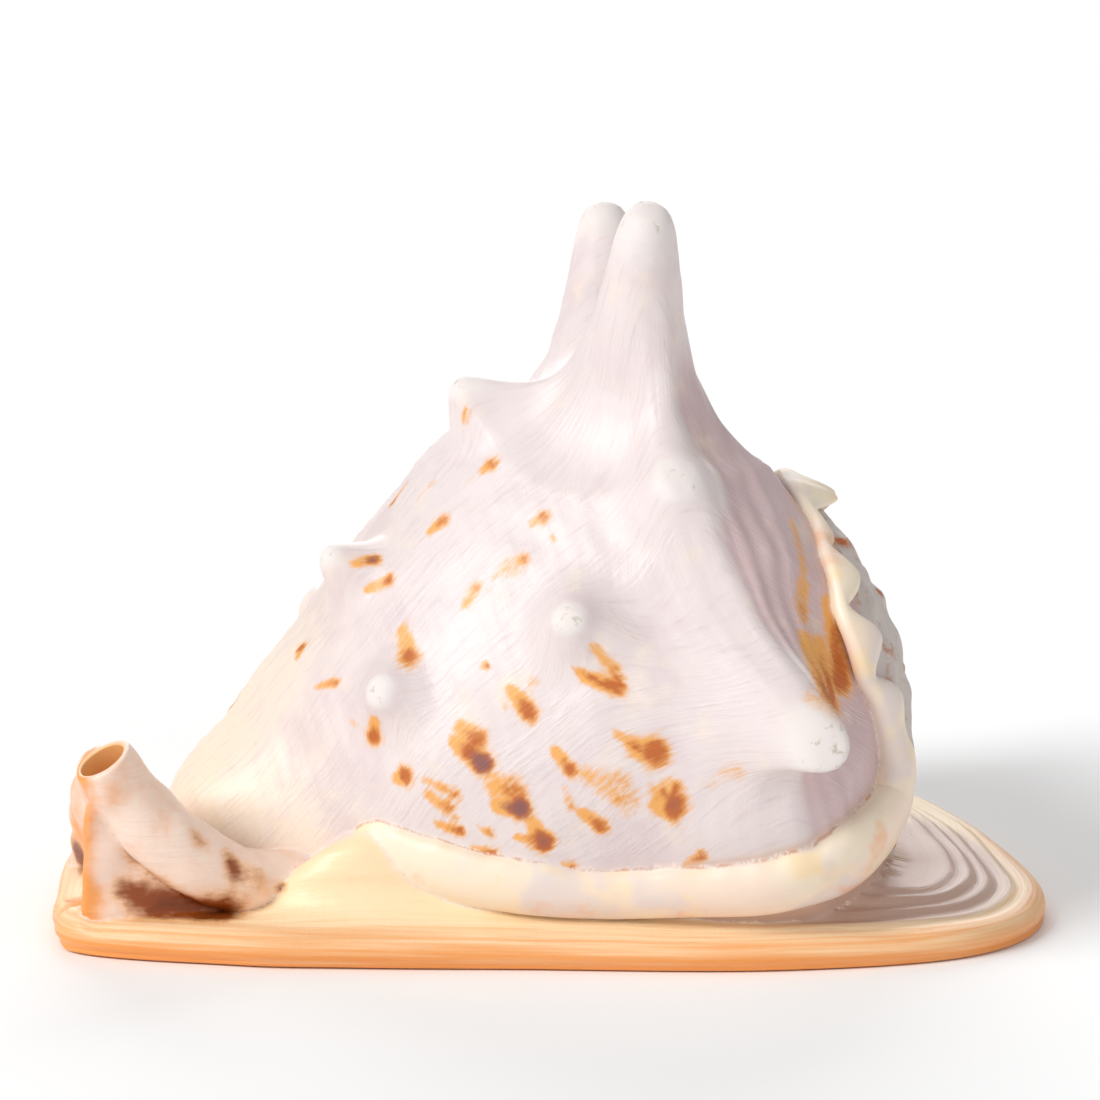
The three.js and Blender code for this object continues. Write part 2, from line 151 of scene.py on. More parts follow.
def closed_mesh(name: str, grid: np.ndarray, fields: dict[str, np.ndarray]) -> bpy.types.Object:
    """Closed skin over a grid of rings, each end shut by a fan to the ring's middle.

    Args:
        name: Name of the object.
        grid: Points as (ring, point of the ring, xyz) in millimetres.
        fields: Point values on the same grid, kept as attributes.

    Returns:
        The new object, linked to the scene.
    """
    rings, count = grid.shape[:2]
    points = np.concatenate([grid.reshape(-1, 3), grid[[0, -1]].mean(axis=1)])
    ring, spot = np.meshgrid(np.arange(rings - 1), np.arange(count), indexing="ij")
    here = ring * count + spot
    there = ring * count + (spot + 1) % count
    quads = np.stack([here, there, there + count, here + count], axis=-1).reshape(-1, 4)
    first = np.arange(count)
    last = (rings - 1) * count + first
    start_fan = np.stack([np.full(count, rings * count), np.roll(first, -1), first], axis=-1)
    end_fan = np.stack([np.full(count, rings * count + 1), last, np.roll(last, -1)], axis=-1)
    corners = points[quads]
    volume = np.einsum("ij,ij->", corners[:, 0], np.cross(corners[:, 1], corners[:, 2]))
    faces = [*quads.tolist(), *start_fan.tolist(), *end_fan.tolist()]
    if volume < 0:
        faces = [face[::-1] for face in faces]
    mesh = bpy.data.meshes.new(name)
    mesh.from_pydata((points + TO_ROW_FRAME) * MM, [], faces)
    for label, values in {**fields, "known": np.ones((rings, count))}.items():
        flat = np.concatenate([values.reshape(-1), values[[0, -1]].mean(axis=1)])
        write_field(mesh, label, flat)
    item = bpy.data.objects.new(name, mesh)
    bpy.context.scene.collection.objects.link(item)
    return item


def write_field(mesh: bpy.types.Mesh, label: str, values: np.ndarray) -> None:
    """Stores one number per point as a named attribute."""
    layer = mesh.attributes.get(label) or mesh.attributes.new(label, "FLOAT", "POINT")
    layer.data.foreach_set("value", np.ascontiguousarray(values, np.float32))


def read_field(mesh: bpy.types.Mesh, label: str) -> np.ndarray:
    """Named attribute as an array, one number per point."""
    values = np.zeros(len(mesh.vertices), np.float32)
    mesh.attributes[label].data.foreach_get("value", values)
    return values.astype(float)


def combine(item: bpy.types.Object, other: bpy.types.Object, join: Join) -> None:
    """Grows or cuts one closed solid by another, which is used up.

    Args:
        item: The solid that changes.
        other: The solid that is added or taken away.
        join: Whether to grow or to cut.
    """
    step = item.modifiers.new(join.name.lower(), "BOOLEAN")
    step.operation = join.value
    step.solver = "MANIFOLD"
    step.object = other
    evaluated = item.evaluated_get(bpy.context.evaluated_depsgraph_get())
    mesh = bpy.data.meshes.new_from_object(evaluated)
    item.modifiers.remove(step)
    old = item.data
    item.data = mesh
    used = other.data
    bpy.data.objects.remove(other)
    bpy.data.meshes.remove(old)
    bpy.data.meshes.remove(used)


@dataclass(frozen=True)
class CoilAxis:
    """Axis that the whorls coil about: it leaves the apex, dipping and swinging towards the canal."""

    apex: tuple[float, float, float] = (86.0, -4.0, 58.0)
    dip: float = 14.0
    swing: float = 8.0

    def directions(self) -> np.ndarray:
        """Unit rows: down the axis, across to the lip side, and up over the back."""
        dip, swing = math.radians(self.dip), math.radians(self.swing)
        level = math.cos(dip)
        down = np.array([-level * math.cos(swing), -level * math.sin(swing), -math.sin(dip)])
        side = np.array([-math.sin(swing), math.cos(swing), 0.0])
        return np.stack([down, side, np.cross(side, down)])

    def place(self, along: np.ndarray, radius: np.ndarray, turn: np.ndarray) -> np.ndarray:
        """Point at a distance along the axis, a radius and a turn from the back towards the lip."""
        parts = np.stack([along, radius * np.sin(turn), radius * np.cos(turn)], axis=-1)
        return np.array(self.apex) + parts @ self.directions()

    def measure(self, points: np.ndarray) -> tuple[np.ndarray, np.ndarray, np.ndarray]:
        """Distance along the axis, radius and turn of points: the reverse of place."""
        parts = (points - np.array(self.apex)) @ self.directions().T
        radius = np.hypot(parts[..., 1], parts[..., 2])
        return parts[..., 0], radius, np.arctan2(parts[..., 1], parts[..., 2])


@dataclass(frozen=True)
class Bump:
    """A horn or knob that the whorl is drawn up into.

    A horn has a tip; a knob has a height along the whorl's normal. The foot is drawn in and lifted
    along a cubic profile that starts flat, climbs by the flare and ends round by the bluntness.
    """

    turn: float
    step: float
    foot: float
    tip: tuple[float, float, float] | None = None
    height: float = 0.0
    flare: float = 0.5
    blunt: float = 0.5


HORN_STEP = 7.75
FINGER = 0.7
HORNS = (
    Bump(-72.0, HORN_STEP, 33.0, tip=(62.0, -86.8, 54.0), flare=0.3, blunt=0.25),
    Bump(-34.0, HORN_STEP, 22.0, tip=(28.0, -58.5, 112.0), flare=0.45, blunt=0.27),
    Bump(-8.0, HORN_STEP, 33.0, tip=(21.5, -36.0, 171.0), flare=0.15, blunt=0.29),
    Bump(32.0, HORN_STEP, 38.0, tip=(12.5, 54.0, 162.6), flare=0.17, blunt=0.25),
    Bump(70.0, HORN_STEP, 30.0, tip=(30.0, 96.2, 87.0), flare=0.25, blunt=0.27),
)
KNOBS = (
    Bump(1.0, 9.52, 15.0, height=12.5, blunt=0.25),
    Bump(-50.0, 9.33, 16.0, height=9.0, blunt=0.25),
    Bump(44.0, 9.67, 16.0, height=6.5, blunt=0.4),
    Bump(-3.0, 11.3, 14.0, height=11.0, blunt=0.25),
    Bump(-45.0, 11.33, 15.0, height=6.5, blunt=0.25),
    Bump(48.0, 11.67, 13.0, height=5.5, blunt=0.4),
)


@dataclass(frozen=True)
class Whorls:
    """Spire and body whorl: one skin of lines from apex to canal and rings about the axis."""

    axis: CoilAxis = CoilAxis()
    # Along the axis, radius over the back, widening to the lip, narrowing to the shield.
    ridge: Knots = (
        (6, 0, 0, 0), (5, 13, 0, 0), (6, 26, 0, 0),
        (9, 38, 0, -0.02), (13, 46, 0, -0.04), (18, 50, 0, -0.06),
        (27, 68, -0.02, -0.15), (40, 86, -0.02, -0.22), (54, 93, 0, -0.25), (74, 88, 0.06, -0.27),
        (96, 78, 0.17, -0.26), (118, 62, 0.24, -0.2), (140, 45, 0.32, -0.18), (160, 30, 0.36, -0.16),
        (178, 19, 0.25, -0.1), (194, 0, 0, 0),
    )
    lip_turn: float = 105.0
    shield_turn: float = 62.0
    spire_lean: float = 0.5
    spire_lean_end: float = 6.5
    spire_lean_turn: float = -65.0
    skirt: float = 17.0
    skirt_turns: Span = (60.0, 135.0)
    skirt_steps: Marks = (4.8, 6.0, 7.5, 10.0)
    skirt_fade: float = 0.4
    brim: float = 9.0
    brim_turns: Marks = (10.0, 40.0, 60.0, 95.0)
    brim_steps: Marks = (4.6, 5.5, 6.2, 8.0)
    bumps: tuple[Bump, ...] = HORNS + KNOBS
    cord_pitch: float = 4.7
    cord_edge: float = 0.2
    cord_sway: float = 0.7
    # Height of the cords everywhere, and more of it on the lip side, low on it and at its seam.
    cord_heights: Marks = (0.04, 0.12, 0.2, 0.6)
    body_steps: Span = (4.8, 5.6)
    lip_turns: Span = (8.0, 38.0)
    low_turns: Span = (55.0, 95.0)
    seam_heights: Span = (34.0, 22.0)
    # Flutes between the lip side's horns: their height, then the middle and reach by turn and by step.
    flute: float = 0.75
    flute_turn: Span = (52.0, 26.0)
    flute_step: Span = (7.9, 1.7)
    # Slow swells of the surface: height, wavelength, seed.
    swells: tuple[tuple[float, float, int], ...] = ((0.45, 30.0, 7), (0.18, 12.0, 8))
    spire_steps: Span = (3.9, 4.6)
    apex_steps: Span = (0.0, 0.8)
    coil_pitch: float = 1.3
    band: float = 1.6
    bead: float = 0.5
    bead_at: Span = (0.62, 0.3)
    bead_count: float = 15.0
    crust: float = 0.6
    dent: float = 0.4
    # Ridges along the shoulder: step, reach, share of the shoulder's height.
    shoulder_ridges: Knots = ((7.35, 0.5, 1.0), (6.9, 0.2, 0.6), (6.55, 0.17, 0.5), (6.2, 0.15, 0.4))
    shoulder: float = 1.3
    bald_horn: Span = (0.3, 0.9)
    end_gap: float = 0.02
    rings: int = 280
    lines: int = 250
    arc_samples: int = 1500
    crowding: float = 0.35
    floor: float = 6.0

    def plain(self, turn: np.ndarray, step: np.ndarray) -> np.ndarray:
        """Point of the whorl before its horns: the ridge line about the axis, its width changing by turn."""
        along, radius, lip, shield = np.moveaxis(spline(self.ridge, step), -1, 0)
        to_lip = np.sin(0.5 * np.pi * np.clip(turn / math.radians(self.lip_turn), 0.0, 1.0))
        to_shield = np.sin(0.5 * np.pi * np.clip(-turn / math.radians(self.shield_turn), 0.0, 1.0))
        radius = radius * (1.0 + lip * to_lip + shield * to_shield)
        sunk = np.sin(0.5 * np.pi * np.clip(1.0 - step / self.spire_lean_end, 0.0, 1.0))
        lean = self.spire_lean * sunk * radius * hump_turn(turn, self.spire_lean_turn)
        degrees = np.degrees(turn)
        near_lip = eased(degrees, self.skirt_turns) * ease((math.pi - turn) / self.skirt_fade)
        skirt = self.skirt * near_lip * plateau(step, self.skirt_steps)
        brim = self.brim * plateau(degrees, self.brim_turns) * plateau(step, self.brim_steps)
        return self.axis.place(along + lean - (skirt + brim), radius, turn)

    def arc(self, step: np.ndarray) -> np.ndarray:
        """Length of the ridge line from the apex to a step, in millimetres."""
        fine = np.linspace(0.0, len(self.ridge) - 1.0, self.arc_samples)
        lengths = np.linalg.norm(np.diff(spline(self.ridge, fine)[:, :2], axis=0), axis=1)
        return np.interp(step, fine, np.concatenate([[0.0], np.cumsum(lengths)]))

    def normal(self, turn: float, step: float) -> np.ndarray:
        """Outward unit normal of the plain whorl."""
        spots = self.plain(np.array([turn, turn, turn + 0.01]), np.array([step, step + 0.1, step]))
        normal = np.cross(spots[2] - spots[0], spots[1] - spots[0])
        return normal / np.linalg.norm(normal)

    def raised(self, plain: np.ndarray) -> tuple[np.ndarray, np.ndarray]:
        """Points drawn up into horns and knobs.

        Args:
            plain: Points of the plain whorl.

        Returns:
            The raised points, and how far up a horn each one stands, from 0 to 1.
        """
        points = plain.copy()
        climbed = np.zeros(plain.shape[:-1])
        for bump in self.bumps:
            turn = math.radians(bump.turn)
            base = self.plain(np.array(turn), np.array(bump.step))
            normal = self.normal(turn, bump.step)
            rise = bump.height * normal if bump.tip is None else np.array(bump.tip) - base
            offset = plain - base
            level = offset @ normal
            flat = offset - level[..., None] * normal
            distance = np.linalg.norm(flat, axis=-1)
            up = np.where(level > -bump.foot, np.clip(1.0 - distance / bump.foot, 0.0, 1.0), 0.0)
            rest = 1.0 - up
            spread = rest**3 + 3.0 * bump.flare * rest**2 * up + 3.0 * bump.blunt * rest**FINGER * up**2
            lift = 3.0 * rest * up**2 + up**3
            draw = np.where(up > 0.0, spread * bump.foot / np.maximum(distance, 1e-6) - 1.0, 0.0)
            points += lift[..., None] * rise + draw[..., None] * flat
            climbed = np.maximum(climbed, lift)
        return points, climbed

    def cord_phase(self, points: np.ndarray, step: np.ndarray) -> np.ndarray:
        """Phase of the spiral cords: the arc counted in cord pitches, swaying a little."""
        pace = 2.0 * np.pi / self.cord_pitch
        return pace * self.arc(step) + self.cord_sway * ripple(points, 50.0, 3)

    def relief(
        self, points: np.ndarray, turn: np.ndarray, step: np.ndarray, climbed: np.ndarray
    ) -> np.ndarray:
        """Height of the spiral cords, waves and the worn spire, in millimetres along the normal.

        Args:
            points: Raised points of the whorls.
            turn: Turn of each point.
            step: Step of each point.
            climbed: How far up a horn each point stands.

        Returns:
            A sum of a cosine of the arc, uneven waves, grooves about the apex and humps at the shoulder.
        """
        degrees = np.degrees(turn)
        phase = self.cord_phase(points, step)
        cord = np.cos(phase) + self.cord_edge * np.cos(2.0 * phase)
        body = eased(step, self.body_steps)
        lip = eased(degrees, self.lip_turns)
        low = eased(degrees, self.low_turns)
        seam = eased(points[..., 2], self.seam_heights) * low
        worn = 0.75 + 0.4 * ripple(points, 24.0, 5)
        faint, by_lip, by_low, by_seam = self.cord_heights
        cords = body * cord * (faint + worn * (by_lip * lip + by_low * low + by_seam * seam))
        cords = cords * (1.0 - 0.7 * climbed)
        wave = np.cos(0.9 * phase + 1.3 * ripple(points, 16.0, 9))
        flutes = lip * body * hump(degrees, *self.flute_turn) * hump(step, *self.flute_step)
        flutes = flutes * self.flute * wave
        swell = sum(height * ripple(points, length, seed) for height, length, seed in self.swells)
        spire = 1.0 - eased(step, self.spire_steps)
        coil = (step / self.coil_pitch + turn / (2.0 * np.pi)) % 1.0
        beads = hump(coil, *self.bead_at) * np.cos(self.bead_count * turn + 2.0 * step)
        bands = self.band * np.sin(np.pi * coil) ** 0.5 + self.bead * beads
        rough = bands - 1.0 + self.crust * ripple(points, 7.0, 11)
        ragged = spire * eased(step, self.apex_steps) * rough
        dents = np.maximum(ripple(points, 5.0, 13) - 0.4, 0.0) + 0.5 + 0.5 * ripple(points, 11.0, 14)
        edge = sum(height * hump(step, middle, reach) for middle, reach, height in self.shoulder_ridges)
        shoulder = self.shoulder * (1.0 - lip) * edge * (0.8 + 0.3 * ripple(points, 14.0, 15))
        height = cords + flutes + swell * (0.4 + 0.6 * body) + ragged + shoulder
        return height * (1.0 - eased(climbed, self.bald_horn)) - self.dent * climbed**3 * dents

    def build(self) -> bpy.types.Object:
        """Skin of the whorls, closed at both ends; the shell cuts it off level a little above the sole."""
        even = 2.0 * np.pi * (np.arange(self.lines) / self.lines - 0.5)
        turns = even - self.crowding * np.sin(even)
        first, last = self.arc(np.array([self.end_gap, len(self.ridge) - 1.0 - self.end_gap]))
        fine = np.linspace(0.0, len(self.ridge) - 1.0, self.arc_samples)
        steps = np.interp(np.linspace(first, last, self.rings), self.arc(fine), fine)
        step, turn = np.meshgrid(steps, turns, indexing="ij")
        points, climbed = self.raised(self.plain(turn, step))
        points = points + self.relief(points, turn, step, climbed)[..., None] * grid_normals(points)
        fields = {
            "region": np.full(step.shape, Region.WHORL.value),
            "turn": turn,
            "step": step,
            "climb": climbed,
        }
        return closed_mesh("whorls", points, fields)


def sweep(path: np.ndarray, side: np.ndarray, up: np.ndarray, sizes: np.ndarray, sides: int) -> np.ndarray:
    """Ellipse carried along a path: centre plus side times cosine plus up times sine, uneven where asked.

    Args:
        path: Centres, one row per ring.
        side: Unit vectors across the path.
        up: Unit vectors across the path, square to side.
        sizes: Half widths along and against side, or one for both, then the half height, a row per ring.
        sides: Points in each ring.

    Returns:
        The grid of rings.
    """
    angle = 2.0 * np.pi * np.arange(sides) / sides
    across = np.where(np.cos(angle) > 0.0, sizes[:, 0, None], sizes[:, -2, None]) * np.cos(angle)
    upward = sizes[:, -1, None] * np.sin(angle)
    return path[:, None] + across[..., None] * side[:, None] + upward[..., None] * up[:, None]


def unit(vectors: np.ndarray) -> np.ndarray:
    """Vectors of length one."""
    return vectors / np.maximum(np.linalg.norm(vectors, axis=-1, keepdims=True), 1e-9)


def round_ends(share: np.ndarray, tightness: float) -> np.ndarray:
    """Factor that closes a sweep: 1 along it, falling as a superellipse to nearly 0 at both ends."""
    return np.sqrt(np.maximum(1.0 - np.abs(2.0 * share - 1.0) ** tightness, 0.004))


# Stains on the whorl as strokes: start turn and step, end turn and step, half width, strength, purple.
# Most places were picked by eye on the photograph, carried onto the whorl by a separate script and rounded.
STAINS: Knots = (
    (-3, 9.7, -3, 9.6, 1, 0.6, 0), (-10, 9.75, -10, 9.65, 1.7, 0.8, 0),
    (-10, 9.65, -10, 9.6, 1.2, 0.75, 0), (-2, 10.5, -2, 10.25, 1, 0.35, 0),
    (-13, 10.45, -13, 10.3, 1.7, 0.8, 0), (-26, 9.45, -26, 9.35, 1.7, 0.75, 0),
    (-30, 9.3, -31, 9.3, 0.9, 0.6, 0), (-32, 9.95, -32, 9.75, 2.4, 0.5, 0),
    (-32, 9.7, -32, 9.65, 1.4, 0.75, 0), (-34, 10.35, -32, 10.2, 1.7, 0.65, 0),
    (-9, 11.15, -9, 11, 1.4, 0.8, 0.8), (-14, 11.2, -15, 11, 1.4, 0.9, 0.5),
    (-30, 11.05, -38, 11, 2.4, 0.7, 0.05), (-33, 11, -37, 11, 1.6, 0.9, 0.1),
    (-6, 12.15, -3, 12.1, 1.4, 0.85, 0.1), (-25, 12.05, -29, 11.85, 1.2, 0.7, 0),
    (-52, 11.55, -55, 11.65, 1.7, 1, 0.2), (-44, 11.85, -47, 11.8, 1, 0.45, 0),
    (-58, 10.15, -64, 10.05, 1.9, 0.95, 0.2), (-59, 9.95, -58, 9.9, 1.2, 0.55, 0),
    (-59, 10.25, -61, 10.25, 1, 0.4, 0), (-50, 10.36, -50, 10.33, 0.9, 1.1, 0.2),
    (-60, 9.5, -62, 9.35, 1, 0.9, 0.1), (-62, 9.4, -64, 9.25, 1.7, 1, 0.25),
    (-57, 9.2, -62, 9.2, 1.6, 0.75, 0), (-62, 10.75, -66, 10.65, 2.4, 0.85, 0.15),
    (-65, 10.85, -68, 10.75, 2.1, 1, 0.5), (-68, 10.75, -72, 10.65, 2.3, 1.1, 1),
    (-69, 11.5, -69, 11.45, 1.9, 1.05, 0.35), (-72, 11.25, -78, 11, 1.4, 0.65, 0),
    (-76, 11.25, -81, 11.1, 1.7, 0.75, 0), (-82, 11.15, -84, 11.05, 1.2, 0.6, 0),
    (-88, 10.85, -90, 10.75, 1, 0.75, 0.1), (-78, 10.6, -80, 10.45, 2.8, 0.75, 0),
    (-80, 10.5, -82, 10.4, 2.4, 0.85, 0.2), (-83, 10.6, -85, 10.4, 2.3, 1.1, 1),
    (-92, 10.5, -93, 10.35, 1.2, 0.85, 0.1), (-74, 9.9, -79, 9.8, 1.6, 0.85, 0.1),
    (-82, 9.9, -87, 9.9, 1.2, 0.55, 0), (-81, 9.65, -84, 9.4, 3.1, 0.55, 0),
    (-84, 9.55, -88, 9.35, 2.8, 0.55, 0), (-78, 9.3, -79, 9.3, 0.9, 0.6, 0),
    (-89, 9.8, -93, 9.65, 1.7, 0.9, 0.1), (-74, 9.35, -78, 9.25, 1.2, 0.85, 0),
    (-78, 9.25, -80, 9.15, 2.8, 1.05, 0.25), (-76, 9.15, -77, 9.15, 1, 0.8, 0.1),
    (-88, 9.1, -89, 9.05, 1.7, 0.8, 0), (-88, 9, -89, 8.95, 1.7, 0.85, 0.1),
    (-91, 9.05, -92, 8.95, 2.8, 1.1, 0.7), (-105, 8.9, -103, 8.7, 1.2, 0.9, 0),
    (-87, 8.6, -87, 8.5, 2.4, 0.4, 0), (-90, 8.75, -90, 8.65, 1.7, 0.3, 0),
    (-60, 6.2, -68, 6.7, 3.8, 0.8, 0.05), (-56, 5.5, -75, 5.55, 3.2, 0.95, 0.05),
    (-64, 7.5, -68, 7.2, 2.8, 0.6, 0.1), (-64, 5.9, -77, 6.1, 4.2, 1.05, 0.1),
    (-20, 5.35, -57, 5.4, 2.2, 0.5, 0), (-45, 5.9, -56, 6.1, 2.2, 0.6, 0.1),
    (-34, 5.8, -44, 5.9, 1.6, 0.5, 0), (16, 9.65, 16, 9.75, 1.2, 0.85, 0.05),
    (41, 9.55, 33, 9.8, 1.6, 0.85, 0.05), (41, 9.9, 36, 10.05, 1.2, 0.55, 0),
    (35, 10.35, 32, 10.7, 1.6, 1, 0.15), (17, 11.3, 4, 11.5, 1.6, 0.6, 0.4),
    (34, 11.5, 29, 11.65, 1.4, 0.4, 0.4), (50, 9.5, 50, 9.55, 1.2, 0.55, 0),
    (50, 10.55, 50, 10.75, 2.1, 0.6, 0.1), (54, 10.25, 54, 10.35, 1.4, 0.45, 0),
    (51, 11.35, 49, 11.65, 1.6, 0.75, 0.25), (69, 9.55, 67, 9.8, 1.7, 0.9, 0),
    (80, 9.65, 74, 9.85, 2.3, 1.05, 0.25), (78, 9.05, 77, 9.45, 2.1, 0.55, 0.05),
    (82, 9.1, 81, 9.5, 1.7, 0.4, 0.05), (82, 9.85, 80, 10.1, 1.6, 0.65, 0.05),
    (76, 10.25, 74, 10.35, 1.7, 0.45, 0), (72, 10, 66, 9.95, 1.7, 0.4, 0.1),
    (68, 10.25, 62, 10.25, 1.7, 0.4, 0.1), (67, 10.65, 70, 10.75, 2.3, 0.95, 0.65),
    (65, 11.55, 62, 11.9, 1.9, 1.05, 0.25), (79, 11.65, 78, 12.2, 2.3, 1.1, 0.9),
    (82, 10.8, 84, 11.05, 2.8, 1.1, 0.9), (92, 9.75, 90, 10.05, 2.1, 1.1, 0.6),
    (96, 9.1, 94, 9.45, 1.6, 0.75, 0.05), (95, 9.45, 92, 9.75, 1.4, 0.7, 0.05),
    (90, 10.05, 88, 10.45, 1.6, 0.8, 0.2), (88, 10.35, 85, 10.85, 1.9, 0.9, 0.35),
    (87, 11.25, 89, 11.55, 1.2, 0.65, 0.05), (30, 12.3, 26, 12.75, 0.9, 0.9, 0.15),
    (56, 12.45, 53, 12.8, 1.7, 0.5, 0.1), (49, 12.85, 51, 13.25, 2.1, 0.8, 0.9),
    (61, 12.6, 60, 13.05, 1.7, 0.6, 0.1), (68, 12.9, 69, 13.45, 1.7, 0.75, 0.2),
    (59, 13.2, 52, 14, 1.7, 0.6, 0.2), (72, 13.7, 58, 14.4, 1.4, 0.95, 0.25),
    (82, 13.05, 84, 13.3, 1.4, 1, 0.2), (120, 6.25, 107, 7, 3.1, 0.7, 0.15),
    (106, 7.15, 105, 7.9, 2.4, 0.45, 0), (86, 6.7, 85, 6.8, 2.8, 0.25, 0),
    (95, 8.2, 94, 8.6, 2.1, 0.2, 0), (100, 9.4, 100, 9.6, 1.4, 0.45, 0.1),
    (83, 8.5, 84, 8.55, 0.7, 0.5, 0.1), (78, 8.65, 79, 8.7, 0.7, 0.5, 0.1),
    (69, 9.3, 68, 9.15, 0.5, 0.4, 0), (-85, 11.25, -88, 11.05, 1.2, 0.9, 0.2),
    (-94, 10.95, -96, 10.8, 1.4, 1.05, 0.2), (-90, 10.3, -94, 10.25, 2.1, 1.1, 0.75),
    (-101, 10.1, -102, 10.05, 1.6, 0.75, 0), (12, 10.5, 10, 10.7, 1.2, 0.85, 0.05),
    (8, 11.2, 4, 11.35, 1.6, 0.75, 0.1), (26, 12.75, 24, 13.1, 0.9, 0.9, 0.2),
    (122, 6.3, 108, 7.2, 3.3, 0.75, 0.25), (126, 6.6, 112, 7.6, 3.1, 0.7, 0.2),
    (110, 7.6, 108, 8.2, 1.7, 0.45, 0),
)
# Stains elsewhere: start x, y, z, end x, y, z, half width, strength, purple.
BURNS: Knots = (
    (-100, -60, 15, -92, -60, 11, 5, 0.75, 0.3), (-95, -60, 12, -78, -62, 11, 5, 0.85, 0.35),
    (-98, -62, 24, -90, -64, 18, 4, 0.45, 0.3), (-75, -65, 25, -73, -65, 20, 2.6, 0.7, 0.6),
    (-70, -63, 21, -69, -62, 17, 2.0, 0.6, 0.1), (-90, -66, 34, -80, -67, 27, 1.6, 0.5, 0.1),
    (-66, -60, 16, -62, -60, 15, 1.4, 0.6, 0.2), (-101, -44, 37, -108, -37, 26, 2.6, 0.8, 0.1),
    (-108, -37, 26, -112, -30, 16, 3.6, 1.2, 0.3), (-112, -30, 16, -107, -27, 11, 4.5, 1.25, 0.3),
    (-104, -42, 27, -106, -33, 14, 2.8, 1.0, 0.1), (-99, -40, 22, -101, -33, 13, 2.2, 0.85, 0.1),
    (-95, -32, 14, -104, -26, 11, 3.2, 1.1, 0.2), (-107, -27, 11, -104, -8, 11, 3.6, 1.0, 0.2),
    (-97, -8, 13, -84, 8, 15, 4.5, 1.0, 0.5),
    (-87, 38, 16, -84, 42, 16, 3, 0.5, 0.2), (-61, 50, 16, -37, 62, 14, 3.4, 0.85, 0.15),
    (-4, 77, 11, 10, 80, 10, 3, 0.65, 0.1), (73, 60, 13, 58, 78, 13, 6, 0.7, 0.2),
    (78, 50, 13, 70, 62, 13, 5, 0.6, 0.15),
)


@dataclass(frozen=True)
class BaseShield:
    """Flared base: a rounded rim about the outline, a sole that is hollowed a little, a top that climbs."""

    # Outline from above, rim thickness, height climbed to inside, reach of the climb.
    outline: Knots = (
        (-113, -63, 9, 12, 26), (-74, -75, 9, 12, 26), (-46, -77.5, 9, 28, 16), (-10, -78, 8, 24, 24),
        (50, -79, 8, 18, 26), (97, -66, 7, 12, 26), (117, -34, 7, 12, 26), (112, 15, 8, 14, 26),
        (93, 62, 10, 16, 26), (55, 89, 13, 16, 26), (0, 78, 14, 17, 26), (-65, 58, 14, 17, 26),
        (-105, 43, 12, 13, 26), (-119, 10, 11, 13, 26), (-119, -32, 12, 16, 26),
    )
    # Scale to the middle, inset in rims, inset in reaches, height in rims, height in climbs, height in mm.
    section: Knots = (
        (0.02, 1.0, 0, 0, 0, 3.0), (0.4, 1.0, 0, 0, 0, 2.4), (0.78, 1.0, 0, 0, 0, 0),
        (1.0, 0.5, 0, 0, 0, 0), (1.0, 0.12, 0, 0.2, 0, 0), (1.0, 0, 0, 0.5, 0, 0),
        (1.0, 0.15, 0, 0.82, 0, 0), (1.0, 0.5, 0, 1.0, 0, 0), (1.0, 0.5, 0.35, 0.7, 0.3, 0),
        (1.0, 0, 1, 0, 1.0, 0), (0.5, 0, 1, 0, 1.0, 5), (0.02, 0, 1, 0, 1.0, 8),
    )
    columns: int = 300
    rows_per_part: tuple[int, ...] = (3, 6, 6, 5, 5, 5, 5, 12, 18, 5, 2)
    rim_row: float = 5.0
    top_row: float = 9.0
    margin: float = 0.1
    ridge_pitch: float = 5.2
    ridge: float = 0.12
    end_ridge: float = 0.3
    end_x: Span = (20.0, 70.0)
    ridge_across: Span = (5.0, 10.0)
    swell: float = 0.25
    swell_across: Span = (0.0, 4.0)

    def build(self) -> bpy.types.Object:
        """Skin of the base: the section, inset from the outline along its normal, at each point around."""
        around = np.arange(self.columns) * len(self.outline) / self.columns
        edge = spline(self.outline, around, closed=True)
        slope = np.roll(edge[:, :2], -1, axis=0) - np.roll(edge[:, :2], 1, axis=0)
        inward = unit(np.stack([-slope[:, 1], slope[:, 0]], axis=-1))
        parts = [i + np.arange(n) / n for i, n in enumerate(self.rows_per_part)]
        at = np.concatenate([*parts, [len(self.section) - 1.0]])
        scale, by_rim, by_reach, high_rim, high_climb, high_mm = spline(self.section, at).T[..., None]
        rim, climb, reach = edge[:, 2:].T
        inset = by_rim * rim + by_reach * reach
        flat = (edge[:, :2] + (inset[..., None] + self.margin) * inward) * scale[..., None]
        height = np.maximum(high_rim * rim + high_climb * climb + high_mm, 0.0)
        grid = np.concatenate([flat, height[..., None]], axis=-1)
        arc = np.cumsum(np.linalg.norm(np.diff(grid, axis=0, prepend=grid[:1]), axis=-1), axis=0)
        across = arc - arc[at == self.rim_row]
        normals = grid_normals(grid)
        normals = normals * np.sign(normals[at == self.top_row, :, 2:])
        worn = self.ridge + self.end_ridge * eased(grid[..., 0], self.end_x)
        ridges = worn * np.cos(2.0 * np.pi * across / self.ridge_pitch + 1.3 * ripple(grid, 45.0, 41))
        swell = self.swell * eased(across, self.swell_across) * (ripple(grid, 26.0, 42) - 1.0)
        ridges = ridges * eased(across, self.ridge_across) + swell
        grid = grid + ridges[..., None] * normals
        fields = {
            "region": np.full(arc.shape, Region.BASE.value),
            "turn": np.broadcast_to(around, arc.shape),
            "step": np.broadcast_to(at[:, None], arc.shape),
            "climb": across,
        }
        return closed_mesh("base", grid, fields)


